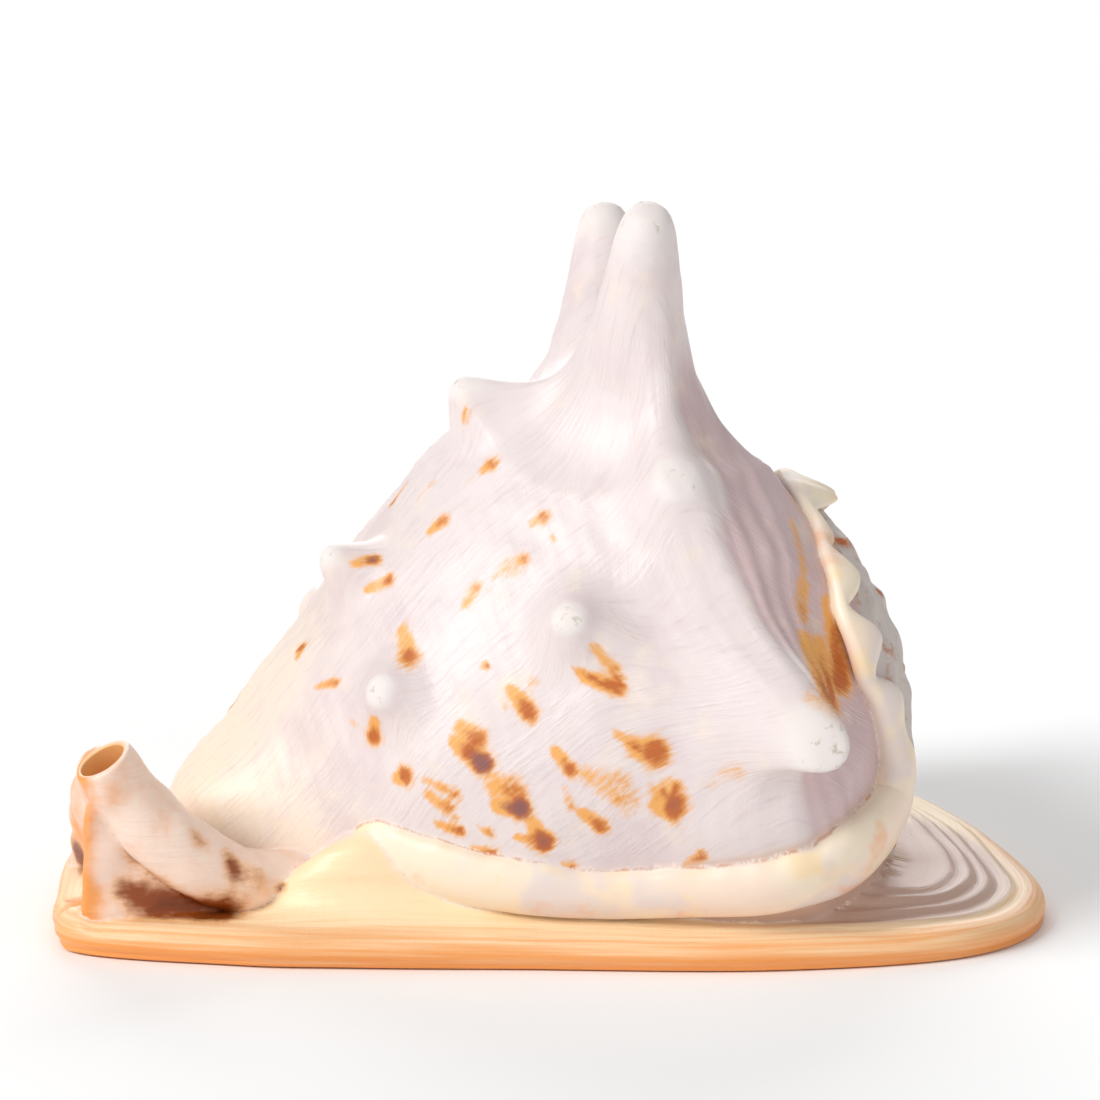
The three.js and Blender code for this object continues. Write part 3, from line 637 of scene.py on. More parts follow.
@dataclass(frozen=True)
class LipRoll:
    """Old lip: a thick roll along the shield side that goes on as a ruffled ribbon along the suture."""

    # Turn in degrees, step, outward lift, half width over the whorl, half thickness, reach of the ruffles.
    course: Knots = (
        (-84, 12.2, -2.5, 5.0, 2.5, 0), (-90, 11.85, -0.8, 6.6, 3.4, 0), (-98, 11.4, 0.2, 7.0, 3.5, 0),
        (-104, 10.8, 0.4, 7.0, 3.5, 0), (-109, 10.0, 0.4, 6.4, 3.6, 0), (-111, 9.2, 0.4, 6.4, 3.7, 0),
        (-112, 8.4, 0.5, 6.8, 3.9, 0), (-112, 7.6, 0.7, 7.6, 4.3, 0), (-113, 6.8, 1.0, 8.6, 4.8, 0),
        (-113, 6.0, 1.5, 8.6, 5.0, 0), (-111, 5.3, 2.0, 7.4, 5.0, 0), (-103, 4.9, 2.2, 6.0, 4.4, 0),
        (-94, 4.9, 1.6, 4.0, 3.4, 1.5), (-84, 5.1, 1.2, 2.6, 2.6, 4.5), (-74, 5.35, 1.0, 2.2, 2.4, 5.5),
        (-63, 5.45, 1.0, 2.1, 2.3, 5.5), (-51, 5.35, 1.0, 2.0, 2.2, 5.0), (-39, 5.2, 0.9, 2.0, 2.0, 4.0),
        (-27, 5.0, 0.9, 1.8, 1.6, 1.5), (-18, 4.95, 1.0, 2.4, 1.6, 2.5), (-10, 4.9, 1.4, 3.5, 1.9, 6.0),
        (0, 4.85, 1.4, 3.5, 2.2, 8.0), (10, 4.85, 1.0, 3.4, 2.4, 7.5), (20, 4.95, 0.6, 2.8, 2.2, 4.0),
        (36, 5.3, 0.4, 2.4, 2.0, 2.4), (53, 5.4, 0.4, 2.4, 2.0, 2.4), (70, 5.4, 0.4, 2.4, 2.0, 2.6),
        (88, 5.4, 0.3, 2.4, 2.0, 2.4), (104, 5.3, 0.2, 2.2, 1.8, 2.0), (118, 5.2, -0.8, 2.0, 1.5, 0.5),
    )
    ruffles: float = 19.0
    ruffle_phase: float = 3.5
    curl: float = 0.15
    frill: float = 0.7
    tongue_turn: float = 3.0
    tongue_reach: float = 24.0
    lean_in: float = 1.8
    lean_turns: Span = (-4.0, 10.0)
    rings: int = 440
    sides: int = 24

    def build(self, whorls: Whorls) -> bpy.types.Object:
        """Ellipse swept over the whorl, its edge towards the apex drawn out into ruffles that curl up."""
        at = np.linspace(0.0, len(self.course) - 1.0, self.rings)
        turn, step, lift, width, depth, ruffle = spline(self.course, at).T
        turn = np.radians(turn)
        seat = whorls.plain(turn, step)
        out = unit(np.stack([whorls.normal(a, b) for a, b in zip(turn, step)]))
        swell = 0.5 + 0.5 * np.cos(self.ruffles * turn + self.ruffle_phase + 0.5 * np.sin(3.0 * turn))
        degrees = np.degrees(turn)
        plate = hump(degrees, self.tongue_turn, self.tongue_reach) ** 0.5
        wave = np.maximum(ruffle, 0.0) * np.maximum(swell**0.5, plate)
        path = seat + (lift + self.curl * wave)[:, None] * out
        tangent = unit(np.gradient(seat, axis=0))
        along = unit(np.cross(tangent, out))
        lean = 1.0 - self.lean_in * eased(degrees, self.lean_turns)
        tilt = (self.frill * wave / (width + wave) * lean)[:, None]
        side = np.cos(tilt) * along + np.sin(tilt) * out
        up = np.cross(side, tangent)
        share = np.linspace(0.0, 1.0, self.rings)
        uneven = width * (1.0 + 0.1 * ripple(seat, 22.0, 31) + 0.06 * ripple(seat, 9.0, 32))
        sizes = np.stack([width + wave, uneven, depth], axis=-1) * round_ends(share, 30.0)[:, None]
        grid = sweep(path, side, up, sizes, self.sides)
        shape = grid.shape[:2]
        fields = {
            "region": np.full(shape, Region.ROLL.value),
            "turn": np.broadcast_to(turn[:, None], shape),
            "step": np.broadcast_to(step[:, None], shape),
            "climb": np.broadcast_to(share[:, None], shape),
        }
        return closed_mesh("roll", grid, fields)


@dataclass(frozen=True)
class Canal:
    """Siphonal canal: a tube rising from the front of the base between two upright walls, with a slit."""

    # Tube centre line and outer half width.
    tube: Knots = (
        (-46, -42, 13, 6), (-60, -50, 14.5, 7), (-74, -57, 16.5, 7.8),
        (-84.5, -60.5, 22.5, 8.4), (-91, -62, 28.5, 8.4),
        (-96.5, -63, 35, 8), (-100.5, -64.5, 41, 7.5), (-104, -66.5, 47.3, 7.2),
    )
    bore: float = 5.7
    bore_overrun: float = 12.0
    tube_overrun: float = 0.1
    # Wall levels: height, front x, back x, middle y, half thickness, curl of the front edge.
    near_wall: Knots = (
        (4, -107, -58, -55, 5, -4), (9, -110, -64, -55.5, 3.6, -6), (16, -109.5, -72, -56.5, 2.8, -5),
        (24, -109, -82, -58, 2.6, -4), (31, -108.5, -88, -60, 2.6, -3), (37, -107, -94, -62, 2.4, -2),
        (40, -104, -97, -63, 2, -1),
    )
    far_wall: Knots = (
        (4, -118.5, -58, -46, 8, 34), (9, -118, -62, -47, 5.5, 31), (15, -116.5, -68, -47.5, 4.4, 24),
        (22, -115.5, -78, -48.5, 4.2, 17), (30, -114.5, -88, -50, 4.2, 11), (37, -113, -94.5, -52, 4, 7),
        (42, -111, -97.5, -54, 3.6, 4), (45.5, -109, -99, -56, 3.2, 2), (48, -106, -100, -57.5, 2.6, 1),
    )
    # Slit levels: height, front x, back x, middle y, half width, curl of the front edge.
    slit: Knots = (
        (-4, -135, -84, -53.5, 2.2, 2), (10, -135, -84, -53.5, 2.2, 2), (20, -135, -90, -54.5, 2, 1),
        (27, -135, -98, -56, 1.6, 0), (33, -135, -107, -58, 0.8, 0),
    )
    lumps: float = 0.4
    rings: int = 70
    sides: int = 36

    def tube_grid(self, widths: np.ndarray, stretch: float) -> np.ndarray:
        """Circle swept along the tube's centre line, which goes on straight past its end by the stretch."""
        at = np.linspace(0.0, len(self.tube) - 1.0, self.rings)
        path = spline(self.tube, at)[:, :3]
        tangent = unit(np.gradient(path, axis=0))
        path = np.concatenate([path, path[-1:] + stretch * tangent[-1:]])
        tangent = np.concatenate([tangent, tangent[-1:]])
        side = unit(np.cross(np.array([0.0, 0.0, 1.0]), tangent))
        up = np.cross(tangent, side)
        sizes = np.repeat(np.append(widths, widths[-1])[:, None], 2, axis=1)
        return sweep(path, side, up, sizes, self.sides)

    def level_grid(self, levels: Knots) -> np.ndarray:
        """Stack of long ellipses: each level has a front, a back, a middle, a half thickness and a curl."""
        at = np.linspace(0.0, len(levels) - 1.0, self.rings)
        height, front, back, middle, half, curl = spline(levels, at).T[..., None]
        angle = 2.0 * np.pi * np.arange(2 * self.sides) / (2 * self.sides)
        ends = np.sign(np.cos(angle)) * np.abs(np.cos(angle)) ** 0.7
        forward = 0.5 - 0.5 * ends
        x = front + (back - front) * (1.0 - forward)
        y = middle + half * (1.0 + 0.4 * forward**3) * np.sin(angle) + curl * forward**3
        return np.stack([x, y, np.broadcast_to(height, x.shape)], axis=-1)

    def part(self, name: str, grid: np.ndarray, region: Region) -> bpy.types.Object:
        """Closed skin with the fields that every region carries."""
        shape = grid.shape[:2]
        share = np.linspace(0.0, 1.0, shape[0])[:, None]
        if region is Region.CANAL:
            grid = grid + self.lumps * ripple(grid, 9.0, 51)[..., None] * grid_normals(grid)
        fields = {
            "region": np.full(shape, region.value),
            "turn": np.zeros(shape),
            "step": np.zeros(shape),
            "climb": np.broadcast_to(share, shape),
        }
        return closed_mesh(name, grid, fields)

    def build(self) -> list[tuple[bpy.types.Object, Join]]:
        """Tube and walls to grow, then bore and slit to cut."""
        widths = spline(self.tube, np.linspace(0.0, len(self.tube) - 1.0, self.rings))[:, 3]
        bore = self.tube_grid(np.full(self.rings, self.bore), self.bore_overrun)
        return [
            (self.part("near_wall", self.level_grid(self.near_wall), Region.CANAL), Join.GROW),
            (self.part("far_wall", self.level_grid(self.far_wall), Region.CANAL), Join.GROW),
            (self.part("tube", self.tube_grid(widths, self.tube_overrun), Region.CANAL), Join.GROW),
            (self.part("bore", bore[self.rings // 3:], Region.THROAT), Join.CUT),
            (self.part("slit", self.level_grid(self.slit), Region.THROAT), Join.CUT),
        ]


@dataclass(frozen=True)
class Aperture:
    """Narrow slot under the lip, toothed on both sides, that runs out into the canal's slit."""

    # Centre line with the half height; the lower edge hangs below the sole.
    course: Knots = ((46, 46, 6), (30, 45, 15), (0, 38, 20), (-42, 18, 14), (-74, -16, 1), (-88, -53, 0))
    half_width: float = 6.0
    overhang: float = 9.0
    teeth: int = 13
    tooth: float = 1.8
    rings: int = 170
    sides: int = 28

    def build(self, canal: Canal) -> bpy.types.Object:
        """Tall ellipse swept along the slot, narrowed at each tooth."""
        at = np.linspace(0.0, len(self.course) - 1.0, self.rings)
        path = spline(self.course, at)
        tangent = np.gradient(path, axis=0) * np.array([1.0, 1.0, 0.0])
        side = unit(np.stack([-tangent[:, 1], tangent[:, 0], tangent[:, 2]], axis=-1))
        up = np.broadcast_to(np.array([0.0, 0.0, 1.0]), path.shape)
        share = np.linspace(0.0, 1.0, self.rings)
        bite = self.tooth * (0.5 + 0.5 * np.cos(2.0 * np.pi * self.teeth * share))
        ends = round_ends(share, 24.0)
        sizes = np.stack([(self.half_width - bite) * ends, (path[:, 2] + self.overhang) * ends], axis=-1)
        return canal.part("slot", sweep(path, side, up, sizes, self.sides), Region.THROAT)


def srgb(code: str) -> tuple[float, float, float, float]:
    """Linear colour of an sRGB hex code."""
    levels = [int(code[i:i + 2], 16) / 255.0 for i in (1, 3, 5)]
    linear = [v / 12.92 if v <= 0.04045 else ((v + 0.055) / 1.055) ** 2.4 for v in levels]
    return linear[0], linear[1], linear[2], 1.0


def stroke_field(
    points: np.ndarray, start: np.ndarray, end: np.ndarray, half_width: float
) -> tuple[np.ndarray, np.ndarray]:
    """Bell of the distance to a straight stroke that widens from its start to its end.

    Args:
        points: Points to measure.
        start: Narrow end of the stroke.
        end: Wide end of the stroke.
        half_width: Half width at the wide end.

    Returns:
        The bell, 1 on the stroke and about half at its half width, and the share of the way along it.
    """
    run = end - start
    share = np.clip((points - start) @ run / max(float(run @ run), 1e-6), 0.0, 1.0)
    gap = points - start - share[:, None] * run
    width = half_width * (0.6 + 0.4 * share)
    return np.exp(-0.69 * np.einsum("ij,ij->i", gap, gap) / width**2), share


@dataclass
class Skin:
    """Points and edges of a closed mesh, with the means to spread values over it."""

    mesh: bpy.types.Mesh

    def points(self) -> np.ndarray:
        """Points in millimetres in the maker's frame."""
        flat = np.zeros(3 * len(self.mesh.vertices), np.float32)
        self.mesh.vertices.foreach_get("co", flat)
        return flat.reshape(-1, 3).astype(float) / MM - TO_ROW_FRAME

    def edges(self) -> np.ndarray:
        """Pairs of points joined by an edge."""
        flat = np.zeros(2 * len(self.mesh.edges), np.int32)
        self.mesh.edges.foreach_get("vertices", flat)
        return flat.reshape(-1, 2)

    def around(self, values: np.ndarray, weight: np.ndarray) -> tuple[np.ndarray, np.ndarray]:
        """Sum of weighted values over each point's neighbours, and the sum of their weights."""
        first, second = self.edges().T
        count = len(weight)
        total = np.bincount(first, values[second] * weight[second], count)
        total += np.bincount(second, values[first] * weight[first], count)
        share = np.bincount(first, weight[second], count) + np.bincount(second, weight[first], count)
        return total, share

    def filled(self, values: np.ndarray, known: np.ndarray) -> np.ndarray:
        """Values where they are known, and the neighbours' mean worked outwards where they are not."""
        values, known = values.copy(), known.copy()
        for _ in range(12):
            total, share = self.around(values, known)
            new = (known < 0.5) & (share > 0.0)
            values[new] = total[new] / share[new]
            known[new] = 1.0
        return values

    def round_joins(self, known: np.ndarray, rounds: int) -> None:
        """Rounds the creases where regions meet: points near a join move to their neighbours' mean."""
        points = self.points()
        near = np.clip(5.0 * self.softened(1.0 - known, 5), 0.0, 1.0) * (points[:, 2] > 0.05)
        even = np.ones(len(points))
        for _ in range(rounds):
            sums = [self.around(column, even) for column in points.T]
            mean = np.stack([total / np.maximum(share, 1.0) for total, share in sums], axis=-1)
            points += 0.5 * near[:, None] * (mean - points)
        self.mesh.vertices.foreach_set("co", ((points + TO_ROW_FRAME) * MM).astype(np.float32).ravel())
        self.mesh.update()

    def softened(self, values: np.ndarray, rounds: int) -> np.ndarray:
        """Values averaged with their neighbours a number of times."""
        for _ in range(rounds):
            total, share = self.around(values, np.ones_like(values))
            values = 0.4 * values + 0.6 * total / np.maximum(share, 1.0)
        return values


@dataclass(frozen=True)
class Spots:
    """Points of the finished skin, with the region, turn, step and climb of each."""

    points: np.ndarray
    known: np.ndarray
    region: np.ndarray
    turn: np.ndarray
    step: np.ndarray
    climb: np.ndarray

    def degrees(self) -> np.ndarray:
        """Turn in degrees."""
        return np.degrees(self.turn)

    def inside(self, region: Region) -> np.ndarray:
        """Whether each point belongs to a region."""
        return self.region == region.value


@dataclass(frozen=True)
class PaintSpans:
    """Where painted zones start and end: turns in degrees, steps, climbs, or places in millimetres."""

    lipward_turns: Marks = (-5.0, 55.0, 120.0, 180.0)
    lipward_steps: Span = (2.6, 4.0)
    behind_end: float = 5.0
    spire_steps: Span = (4.3, 4.8)
    chalk_climb: Span = (0.55, 1.0)
    low_heights: Span = (38.0, 14.0)
    pipe_front: Span = (-103.0, -110.0)
    far_wall_y: float = -54.0
    crust_turns: Span = (8.0, 20.0)
    canal_warmth: Span = (-10.0, -100.0)
    ramp_turns: Span = (5.0, -25.0)
    ramp_steps: Span = (7.6, 6.9)
    ramp_climb: Span = (0.1, 0.6)
    # Where the clay of the end field lies, partly own colour and partly painted shade: the base's far end,
    # and the whorl's wall under the roll.
    end_x: Span = (25.0, 75.0)
    end_across: Span = (6.0, 14.0)
    end_y: Span = (0.0, 30.0)
    under_turns: Span = (-100.0, -110.0)
    under_steps: Span = (4.6, 5.1)
    under_end: float = 10.0
    # seated_y: how far along y the painted shade along the join of the whorl and the base reaches.
    seated_y: Span = (-5.0, 15.0)
    seam_heights: Span = (34.0, 20.0)
    seam_turns: Span = (55.0, 85.0)
    rib_x: Span = (-30.0, -80.0)
    strata_y: Span = (5.0, 55.0)
    strata_rise: float = 9.0
    bald_climb: Span = (0.3, 0.8)
    bald_turns: Span = (15.0, 45.0)
    stain_spread: float = 1.3


@dataclass
class HelmetShell:
    """The whole shell: its regions grown into one closed skin."""

    whorls: Whorls = field(default_factory=Whorls)
    base: BaseShield = field(default_factory=BaseShield)
    roll: LipRoll = field(default_factory=LipRoll)
    canal: Canal = field(default_factory=Canal)
    aperture: Aperture = field(default_factory=Aperture)
    spans: PaintSpans = field(default_factory=PaintSpans)
    below: float = 300.0
    beyond: float = 400.0
    join_rounds: int = 8
    sharp_angle: float = 55.0

    def build(self) -> bpy.types.Object:
        """Regions joined one after another, the whorls first cut off level above the sole."""
        shell = self.whorls.build()
        flat = (-self.beyond, self.beyond, 0.0, self.beyond, 0.0)
        under = self.canal.level_grid(((-self.below, *flat), (self.whorls.floor, *flat)))
        combine(shell, self.canal.part("under", under, Region.THROAT), Join.CUT)
        combine(shell, self.base.build(), Join.GROW)
        combine(shell, self.roll.build(self.whorls), Join.GROW)
        for item, join in self.canal.build():
            combine(shell, item, join)
        combine(shell, self.aperture.build(self.canal), Join.CUT)
        Skin(shell.data).round_joins(read_field(shell.data, "known"), self.join_rounds)
        shell.name = "shell_skin"
        shell.data.name = "shell_skin"
        shell.data.shade_smooth()
        shell.data.set_sharp_from_angle(angle=math.radians(self.sharp_angle))
        return shell

    def paint(self, shell: bpy.types.Object) -> None:
        """Writes the fields that the finish reads: zones, stains and the grain's coordinates."""
        skin = Skin(shell.data)
        known = read_field(shell.data, "known")
        labels = ("region", "turn", "step", "climb")
        region, turn, step, climb = (skin.filled(read_field(shell.data, label), known) for label in labels)
        spots = Spots(skin.points(), known, np.round(region), turn, step, climb)
        self.paint_zones(skin, spots)
        self.paint_stains(skin, spots)
        self.paint_grain(skin, spots)

    def lipward(self, spots: Spots) -> np.ndarray:
        """How far a point lies on the lip side of the spire's rim: a plateau by turn, an ease by step."""
        by_turn = plateau(spots.degrees(), self.spans.lipward_turns)
        return by_turn * eased(spots.step, self.spans.lipward_steps)

    def behind(self, spots: Spots) -> np.ndarray:
        """The part of the lip side that lies on the spire, under the edge that flares over it."""
        return spots.inside(Region.WHORL) * (spots.step < self.spans.behind_end) * self.lipward(spots)

    def paint_zones(self, skin: Skin, spots: Spots) -> None:
        """Writes how far each point lies in each zone: products of eases by turn, step, climb and place.

        Args:
            skin: The skin that is painted.
            spots: What is known of its points.
        """
        mesh, spans = skin.mesh, self.spans
        x, y, z = spots.points.T
        degrees, step, climb = spots.degrees(), spots.step, spots.climb
        whorl, based, rolled = (spots.inside(zone) for zone in (Region.WHORL, Region.BASE, Region.ROLL))
        for zone in (Region.BASE, Region.ROLL, Region.CANAL, Region.THROAT):
            write_field(mesh, zone.name.lower(), skin.softened(spots.inside(zone).astype(float), 5))
        spire = whorl * (1.0 - eased(step, spans.spire_steps)) * (1.0 - 0.75 * self.lipward(spots))
        write_field(mesh, "spire", skin.softened(spire, 3))
        write_field(mesh, "chalk", whorl * eased(climb, spans.chalk_climb))
        low = eased(z, spans.low_heights) * (spots.turn > 0.0)
        to_front = (0.7 - 0.4 * (y > spans.far_wall_y)) * eased(x, spans.pipe_front)
        piped = spots.inside(Region.CANAL) * (0.3 + to_front)
        crust = rolled * eased(degrees, spans.crust_turns) * (spots.turn > 0.0)
        warm_whorl = whorl * np.maximum(eased(x, spans.canal_warmth), low)
        warm = np.maximum(np.maximum(piped, self.behind(spots)), warm_whorl)
        write_field(mesh, "warm", np.maximum(warm, crust))
        front = 0.35 + 0.65 * eased(degrees, spans.ramp_turns)
        ramp = whorl * front * eased(step, spans.ramp_steps) * (1.0 - eased(climb, spans.ramp_climb))
        write_field(mesh, "ramp", ramp)
        # Partly painted shade: the base's far end, fading towards +Y, and the whorl's wall under the roll on
        # the shield side get clay, which is both their own greyish pink and the shade that falls there.
        far = based * eased(x, spans.end_x) * eased(climb, spans.end_across)
        far = far * (1.0 - 0.7 * eased(y, spans.end_y))
        under = whorl * eased(degrees, spans.under_turns) * (step < spans.under_end)
        under = under * eased(step, spans.under_steps)
        write_field(mesh, "end", np.maximum(far, under))
        # Painted shade: a dark line along the crease where the roll meets the whorl, and along the join
        # where the whorl sits on the base on the +Y side.
        on_roll = skin.softened(rolled.astype(float), 7)
        on_base = skin.softened(based.astype(float), 3)
        crease_shade = 4.0 * on_roll * (1.0 - on_roll) * (1.0 - on_base) ** 2
        seat_shade = 4.0 * on_base * (1.0 - on_base) * (1.0 - on_roll) ** 2 * eased(y, spans.seated_y)
        write_field(mesh, "crease_shade", np.maximum(crease_shade, 1.15 * seat_shade))

    def paint_stains(self, skin: Skin, spots: Spots) -> None:
        """Writes the stains and burns: at each point the strongest bell of all strokes, and the ribs' rust.

        Args:
            skin: The skin that is painted.
            spots: What is known of its points.
        """
        mesh, spans, points = skin.mesh, self.spans, spots.points
        x, _, z = points.T
        whorl = spots.inside(Region.WHORL)
        stain, deep, purple, burn = np.zeros((4, len(points)))
        for *places, half_width, strength, tint in STAINS:
            plain = self.whorls.plain(np.radians(places[0::2]), np.array(places[1::2]))
            start, end = self.whorls.raised(plain)[0]
            bell, share = stroke_field(points, start, end, half_width * spans.stain_spread)
            stain = np.maximum(stain, whorl * strength * bell)
            deep = np.maximum(deep, whorl * strength * bell * (0.4 + 0.6 * share))
            purple = np.maximum(purple, whorl * tint * bell * (0.5 + 0.5 * share))
        for *places, half_width, strength, tint in BURNS:
            bell = stroke_field(points, np.array(places[:3]), np.array(places[3:]), half_width)[0]
            burn = np.maximum(burn, strength * bell * ~whorl)
            purple = np.maximum(purple, tint * bell * ~whorl)
        cord = np.cos(self.whorls.cord_phase(points, spots.step))
        seam = eased(z, spans.seam_heights) * eased(spots.degrees(), spans.seam_turns) * whorl
        rust = 0.15 + 0.35 * eased(x, spans.rib_x) + 0.35 * ripple(points, 18.0, 21)
        ribbed = seam * (0.5 - 0.5 * cord) * rust
        crusted = self.behind(spots) * (0.25 + 0.35 * ripple(points, 7.0, 22))
        write_field(mesh, "stain", np.maximum(np.maximum(stain, ribbed), crusted))
        write_field(mesh, "burn", skin.softened(burn, 2))
        write_field(mesh, "deep", np.maximum(deep, 0.6 * ribbed))
        write_field(mesh, "purple", purple)

    def paint_grain(self, skin: Skin, spots: Spots) -> None:
        """Writes the grain's coordinates along and around the shell, and where the fine grain shows.

        Args:
            skin: The skin that is painted.
            spots: What is known of its points.
        """
        mesh, spans, climb = skin.mesh, self.spans, spots.climb
        x, y, z = spots.points.T
        whorl, based = spots.inside(Region.WHORL), spots.inside(Region.BASE)
        radius = self.whorls.axis.measure(spots.points)[1]
        write_field(mesh, "spiral", np.where(whorl, radius * spots.turn, np.where(based, climb, z)))
        write_field(mesh, "arc", np.where(whorl, self.whorls.arc(spots.step), x))
        strata = climb + spans.strata_rise * eased(y, spans.strata_y)
        write_field(mesh, "across", np.where(based, strata, 0.0))
        apart = np.clip(1.0 - 6.0 * skin.softened(1.0 - spots.known, 4), 0.0, 1.0)
        smooth = spots.inside(Region.ROLL) | spots.inside(Region.THROAT)
        bald = np.maximum(eased(climb, spans.bald_climb), 0.6 * eased(spots.degrees(), spans.bald_turns))
        write_field(mesh, "bare", skin.softened(apart * ~smooth * (1.0 - whorl * bald), 1))


SMOOTH = {"interpolation_type": "SMOOTHSTEP"}


@dataclass(frozen=True)
class ShellGlaze:
    """Worn sea shell: chalky lime under a thin natural glaze, satin to the eye, stained from within."""

    pearl: str = "#E4D7D5"
    lilac: str = "#D3C0C4"
    mauve: str = "#D2B8B8"
    cream: str = "#F6E3CC"
    chalk: str = "#EAE2DE"
    moss: str = "#B7AD96"
    amber: str = "#ECAA5C"
    rust: str = "#BE6426"
    plum: str = "#8A5650"
    slate: str = "#D0C5BF"
    apricot: str = "#F09C50"
    straw: str = "#FBE0B6"
    # Greyish pink for the base's far end and the wall under the roll, partly their own colour and partly
    # painted shade.
    clay_and_shade: str = "#CFAE9D"
    milk: str = "#F6E6CE"
    blush: str = "#F5DBCA"
    umber: str = "#4A1802"
    tan: str = "#8E4208"
    flame: str = "#FFC682"
    ior: float = 1.53
    roughness: float = 0.44

    def build(self) -> bpy.types.Material:
        """Nodes: colours laid over the pearl one by one by the painted fields, each broken by noise."""
        material = bpy.data.materials.new("shell_glaze")
        material.use_nodes = True
        tree = material.node_tree
        tree.nodes.clear()

        def add(kind: str, *values: object, out: str = "", **settings: object) -> bpy.types.NodeSocket:
            """Adds a node with its settings, feeds its open inputs in order and gives one output."""
            node = tree.nodes.new(f"ShaderNode{kind}")
            for label, value in settings.items():
                setattr(node, label, value)
            for socket, value in zip([s for s in node.inputs if s.enabled], values):
                if isinstance(value, bpy.types.NodeSocket):
                    tree.links.new(value, socket)
                else:
                    socket.default_value = srgb(value) if isinstance(value, str) else value
            return node.outputs[out] if out else next((s for s in node.outputs if s.enabled), None)

        place = add("TexCoord", out="Object")
        zones = ("base", "roll", "canal", "throat", "spire", "chalk", "warm", "ramp", "end", "crease_shade")
        marks = ("stain", "deep", "burn", "purple", "spiral", "arc", "across", "bare")
        on = {label: add("Attribute", attribute_name=label, out="Fac") for label in zones + marks}

        def grain(around: float, along: float) -> bpy.types.NodeSocket:
            """Noise stretched around or along the whorl, given its two lengths in millimetres."""
            one = add("Math", on["spiral"], around, operation="DIVIDE")
            two = add("Math", on["arc"], along, operation="DIVIDE")
            return add("TexNoise", add("CombineXYZ", one, two, 0.0), 1.0, 3.0, 0.6)

        def cloud(length: float) -> bpy.types.NodeSocket:
            """Noise in space with a length in millimetres."""
            return add("TexNoise", place, 1.0 / (length * MM), 3.0, 0.6)

        def broken(value: object, noise: bpy.types.NodeSocket, weight: float) -> bpy.types.NodeSocket:
            """A field made ragged by noise, which leaves its mean where it was."""
            centred = add("Math", noise, 0.5, operation="SUBTRACT")
            return add("Math", centred, weight, value, operation="MULTIPLY_ADD")

        def coat(
            under: object, over: object, value: object, low: float, high: float, most: float = 1.0
        ) -> bpy.types.NodeSocket:
            """One colour laid over another: not at all where a field is low, the most where it is high."""
            share = add("MapRange", value, low, high, 0.0, most, **SMOOTH)
            return add("Mix", share, under, over, data_type="RGBA")

        hatch, thread, growth = grain(1.0, 3.2), grain(10.0, 1.2), grain(1.2, 12.0)
        blotch, wide, speck = cloud(5.0), cloud(26.0), cloud(1.7)
        body = coat(self.pearl, self.cream, broken(on["warm"], wide, 0.8), 0.15, 1.0)
        body = coat(body, self.mauve, broken(on["ramp"], wide, 0.6), 0.2, 0.9)
        body = coat(body, self.lilac, growth, 0.5, 0.75, 0.5)
        body = coat(body, self.lilac, cloud(30.0), 0.5, 0.7, 0.5)
        body = coat(body, self.cream, cloud(17.0), 0.56, 0.75, 0.5)
        body = coat(body, self.amber, broken(broken(on["stain"], hatch, 0.8), blotch, 0.4), 0.16, 0.7)
        body = coat(body, self.rust, broken(broken(on["deep"], hatch, 0.5), blotch, 0.4), 0.4, 0.85)
        body = coat(body, self.plum, broken(on["purple"], blotch, 0.3), 0.4, 0.95)
        tip = broken(on["chalk"], cloud(3.0), 0.6)
        body = coat(body, self.chalk, tip, 0.2, 0.9, 0.8)
        body = coat(body, self.moss, broken(tip, cloud(2.6), 1.8), 1.05, 1.4, 0.8)
        worn = coat(self.slate, self.rust, cloud(9.0), 0.56, 0.72)
        worn = coat(worn, self.umber, speck, 0.64, 0.8, 0.6)
        body = coat(body, worn, broken(on["spire"], blotch, 0.5), 0.3, 0.7)
        spot = add("VectorMath", place, (1.0 / 60.0 / MM, 1.0 / 60.0 / MM, 0.0), operation="MULTIPLY")
        level = add("CombineXYZ", 0.0, 0.0, add("Math", on["across"], 1.6, operation="DIVIDE"))
        strata = add("TexNoise", add("VectorMath", spot, level, operation="ADD"), 1.0, 3.0, 0.6)
        inward = broken(add("Math", on["across"], 20.0, operation="DIVIDE"), strata, 1.3)
        base = coat(self.apricot, self.straw, inward, -0.3, 0.7)
        # Clay on the base's far end and on the wall under the roll: partly the shell's own greyish pink,
        # partly painted shade.
        base = coat(base, self.clay_and_shade, broken(on["end"], strata, 1.0), 0.25, 0.9)
        body = coat(body, self.clay_and_shade, on["end"], 0.2, 0.8)
        body = coat(body, base, on["base"], 0.0, 1.0)
        lip = coat(self.milk, self.blush, cloud(34.0), 0.45, 0.6, 0.7)
        lip = coat(lip, self.straw, cloud(20.0), 0.48, 0.64)
        lip = coat(lip, self.pearl, cloud(24.0), 0.5, 0.62, 0.7)
        lip = coat(lip, self.apricot, cloud(16.0), 0.56, 0.72, 0.45)
        lip = coat(lip, self.amber, broken(on["warm"], cloud(6.0), 2.4), 0.8, 1.4, 0.8)
        body = coat(body, lip, on["roll"], 0.0, 1.0)
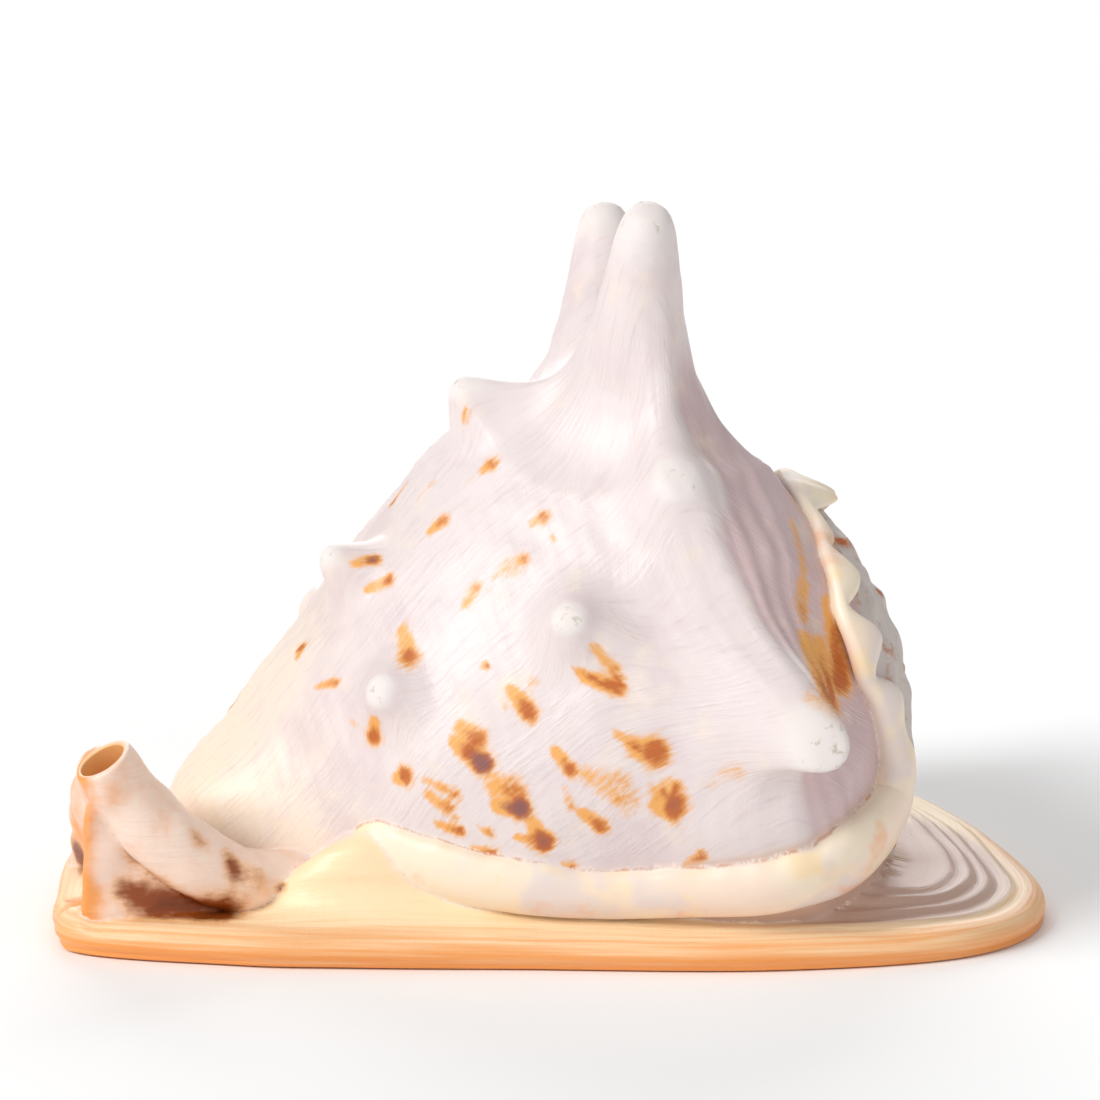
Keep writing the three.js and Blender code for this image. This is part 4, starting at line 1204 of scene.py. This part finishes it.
        # Painted shade: rust brown laid along the creases where the roll and the base meet the whorl.
        body = coat(body, self.rust, broken(on["crease_shade"], cloud(9.0), 0.5), 0.75, 1.1, 0.6)
        pipe = coat(self.blush, self.apricot, broken(on["warm"], cloud(12.0), 1.4), 0.25, 1.0)
        body = coat(body, pipe, on["canal"], 0.0, 1.0)
        body = coat(body, self.flame, on["throat"], 0.0, 1.0)
        scorch = broken(broken(on["burn"], hatch, 0.3), blotch, 0.5)
        body = coat(body, self.amber, scorch, 0.05, 0.35, 0.5)
        body = coat(body, self.tan, scorch, 0.2, 0.65)
        body = coat(body, self.umber, scorch, 0.6, 1.15, 0.9)
        patchy = add("MapRange", wide, 0.35, 0.6, 0.3, 1.0, **SMOOTH)
        fine = add("Math", broken(growth, thread, 0.35), on["bare"], operation="MULTIPLY")
        pitted = add("Math", speck, on["spire"], operation="MULTIPLY")
        height = broken(add("Math", fine, patchy, operation="MULTIPLY"), pitted, 1.2)
        bump = add("Bump", 0.7, 0.0005, 0.1, height)
        dull = add("Math", on["chalk"], on["spire"], operation="MAXIMUM")
        rough = add("Math", dull, 0.25, self.roughness, operation="MULTIPLY_ADD")
        surface = add("BsdfPrincipled", body, 0.0, rough, self.ior, 1.0, bump)
        add("OutputMaterial", surface)
        return material


@dataclass(frozen=True)
class SoftLamp:
    """A far soft light: where it shines from, how wide it looks in degrees and its strength."""

    name: str
    spot: tuple[float, float, float]
    width: float
    strength: float

    def build(self) -> None:
        """Makes the lamp, turned to the middle of the floor."""
        light = bpy.data.lights.new(self.name, "SUN")
        light.energy = self.strength
        light.angle = math.radians(self.width)
        lamp = bpy.data.objects.new(self.name, light)
        lamp.location = self.spot
        lamp.rotation_euler = (-Vector(self.spot)).to_track_quat("-Z", "Y").to_euler()
        bpy.context.scene.collection.objects.link(lamp)


@dataclass(frozen=True)
class Studio:
    """Pale floor, soft light and the camera of the photograph's first view."""

    elevation: float = 10.4
    distance: float = 1.03
    lens: float = 138.0
    aim: tuple[float, float, float] = (0.0, 0.0, 0.083)
    lamps: tuple[SoftLamp, ...] = (
        SoftLamp("key", (-0.72, -0.42, 0.62), 24.0, 2.2),
        SoftLamp("rear", (-0.05, 0.9, 0.45), 40.0, 1.2),
        SoftLamp("fill", (0.55, -0.8, 0.3), 50.0, 0.45),
    )
    paper: str = "#FBFBFB"
    paper_roughness: float = 0.9
    floor_half: float = 8.0
    sensor: float = 36.0
    sky: float = 0.4

    def build(self) -> None:
        """Makes the floor, the lights and the camera, shown without a film curve, as in a catalogue."""
        bpy.context.scene.view_settings.view_transform = "Standard"
        aim = Vector(self.aim)
        mesh = bpy.data.meshes.new("floor")
        half = self.floor_half
        corners = [(-half, -half, 0.0), (half, -half, 0.0), (half, half, 0.0), (-half, half, 0.0)]
        mesh.from_pydata(corners, [], [(0, 1, 2, 3)])
        floor = bpy.data.objects.new("floor", mesh)
        bpy.context.scene.collection.objects.link(floor)
        paper = bpy.data.materials.new("paper")
        paper.use_nodes = True
        shader = paper.node_tree.nodes["Principled BSDF"]
        shader.inputs["Base Color"].default_value = srgb(self.paper)
        shader.inputs["Roughness"].default_value = self.paper_roughness
        mesh.materials.append(paper)
        world = bpy.data.worlds.new("studio")
        bpy.context.scene.world = world
        world.use_nodes = True
        world.node_tree.nodes["Background"].inputs["Color"].default_value = (1.0, 1.0, 1.0, 1.0)
        world.node_tree.nodes["Background"].inputs["Strength"].default_value = self.sky
        for lamp in self.lamps:
            lamp.build()
        tilt = math.radians(self.elevation)
        back = Vector((0.0, -math.cos(tilt), math.sin(tilt)))
        optics = bpy.data.cameras.new("camera")
        optics.lens = self.lens
        optics.sensor_width = self.sensor
        camera = bpy.data.objects.new("camera", optics)
        camera.location = aim + self.distance * back
        camera.rotation_euler = (-back).to_track_quat("-Z", "Y").to_euler()
        bpy.context.scene.collection.objects.link(camera)
        bpy.context.scene.camera = camera


def main() -> None:
    """Builds the studio and the shell."""
    logging.basicConfig(level=logging.INFO, format="%(name)s: %(message)s")
    Studio().build()
    helmet = HelmetShell()
    shell = helmet.build()
    helmet.paint(shell)
    shell.data.materials.clear()
    shell.data.materials.append(ShellGlaze().build())
    shell.data.polygons.foreach_set("material_index", np.zeros(len(shell.data.polygons), np.int32))
    LOG.info("%s: %d points, %d faces", shell.name, len(shell.data.vertices), len(shell.data.polygons))
    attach(shell, "root")
    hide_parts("shell")


if __name__ == "__main__":
    main()
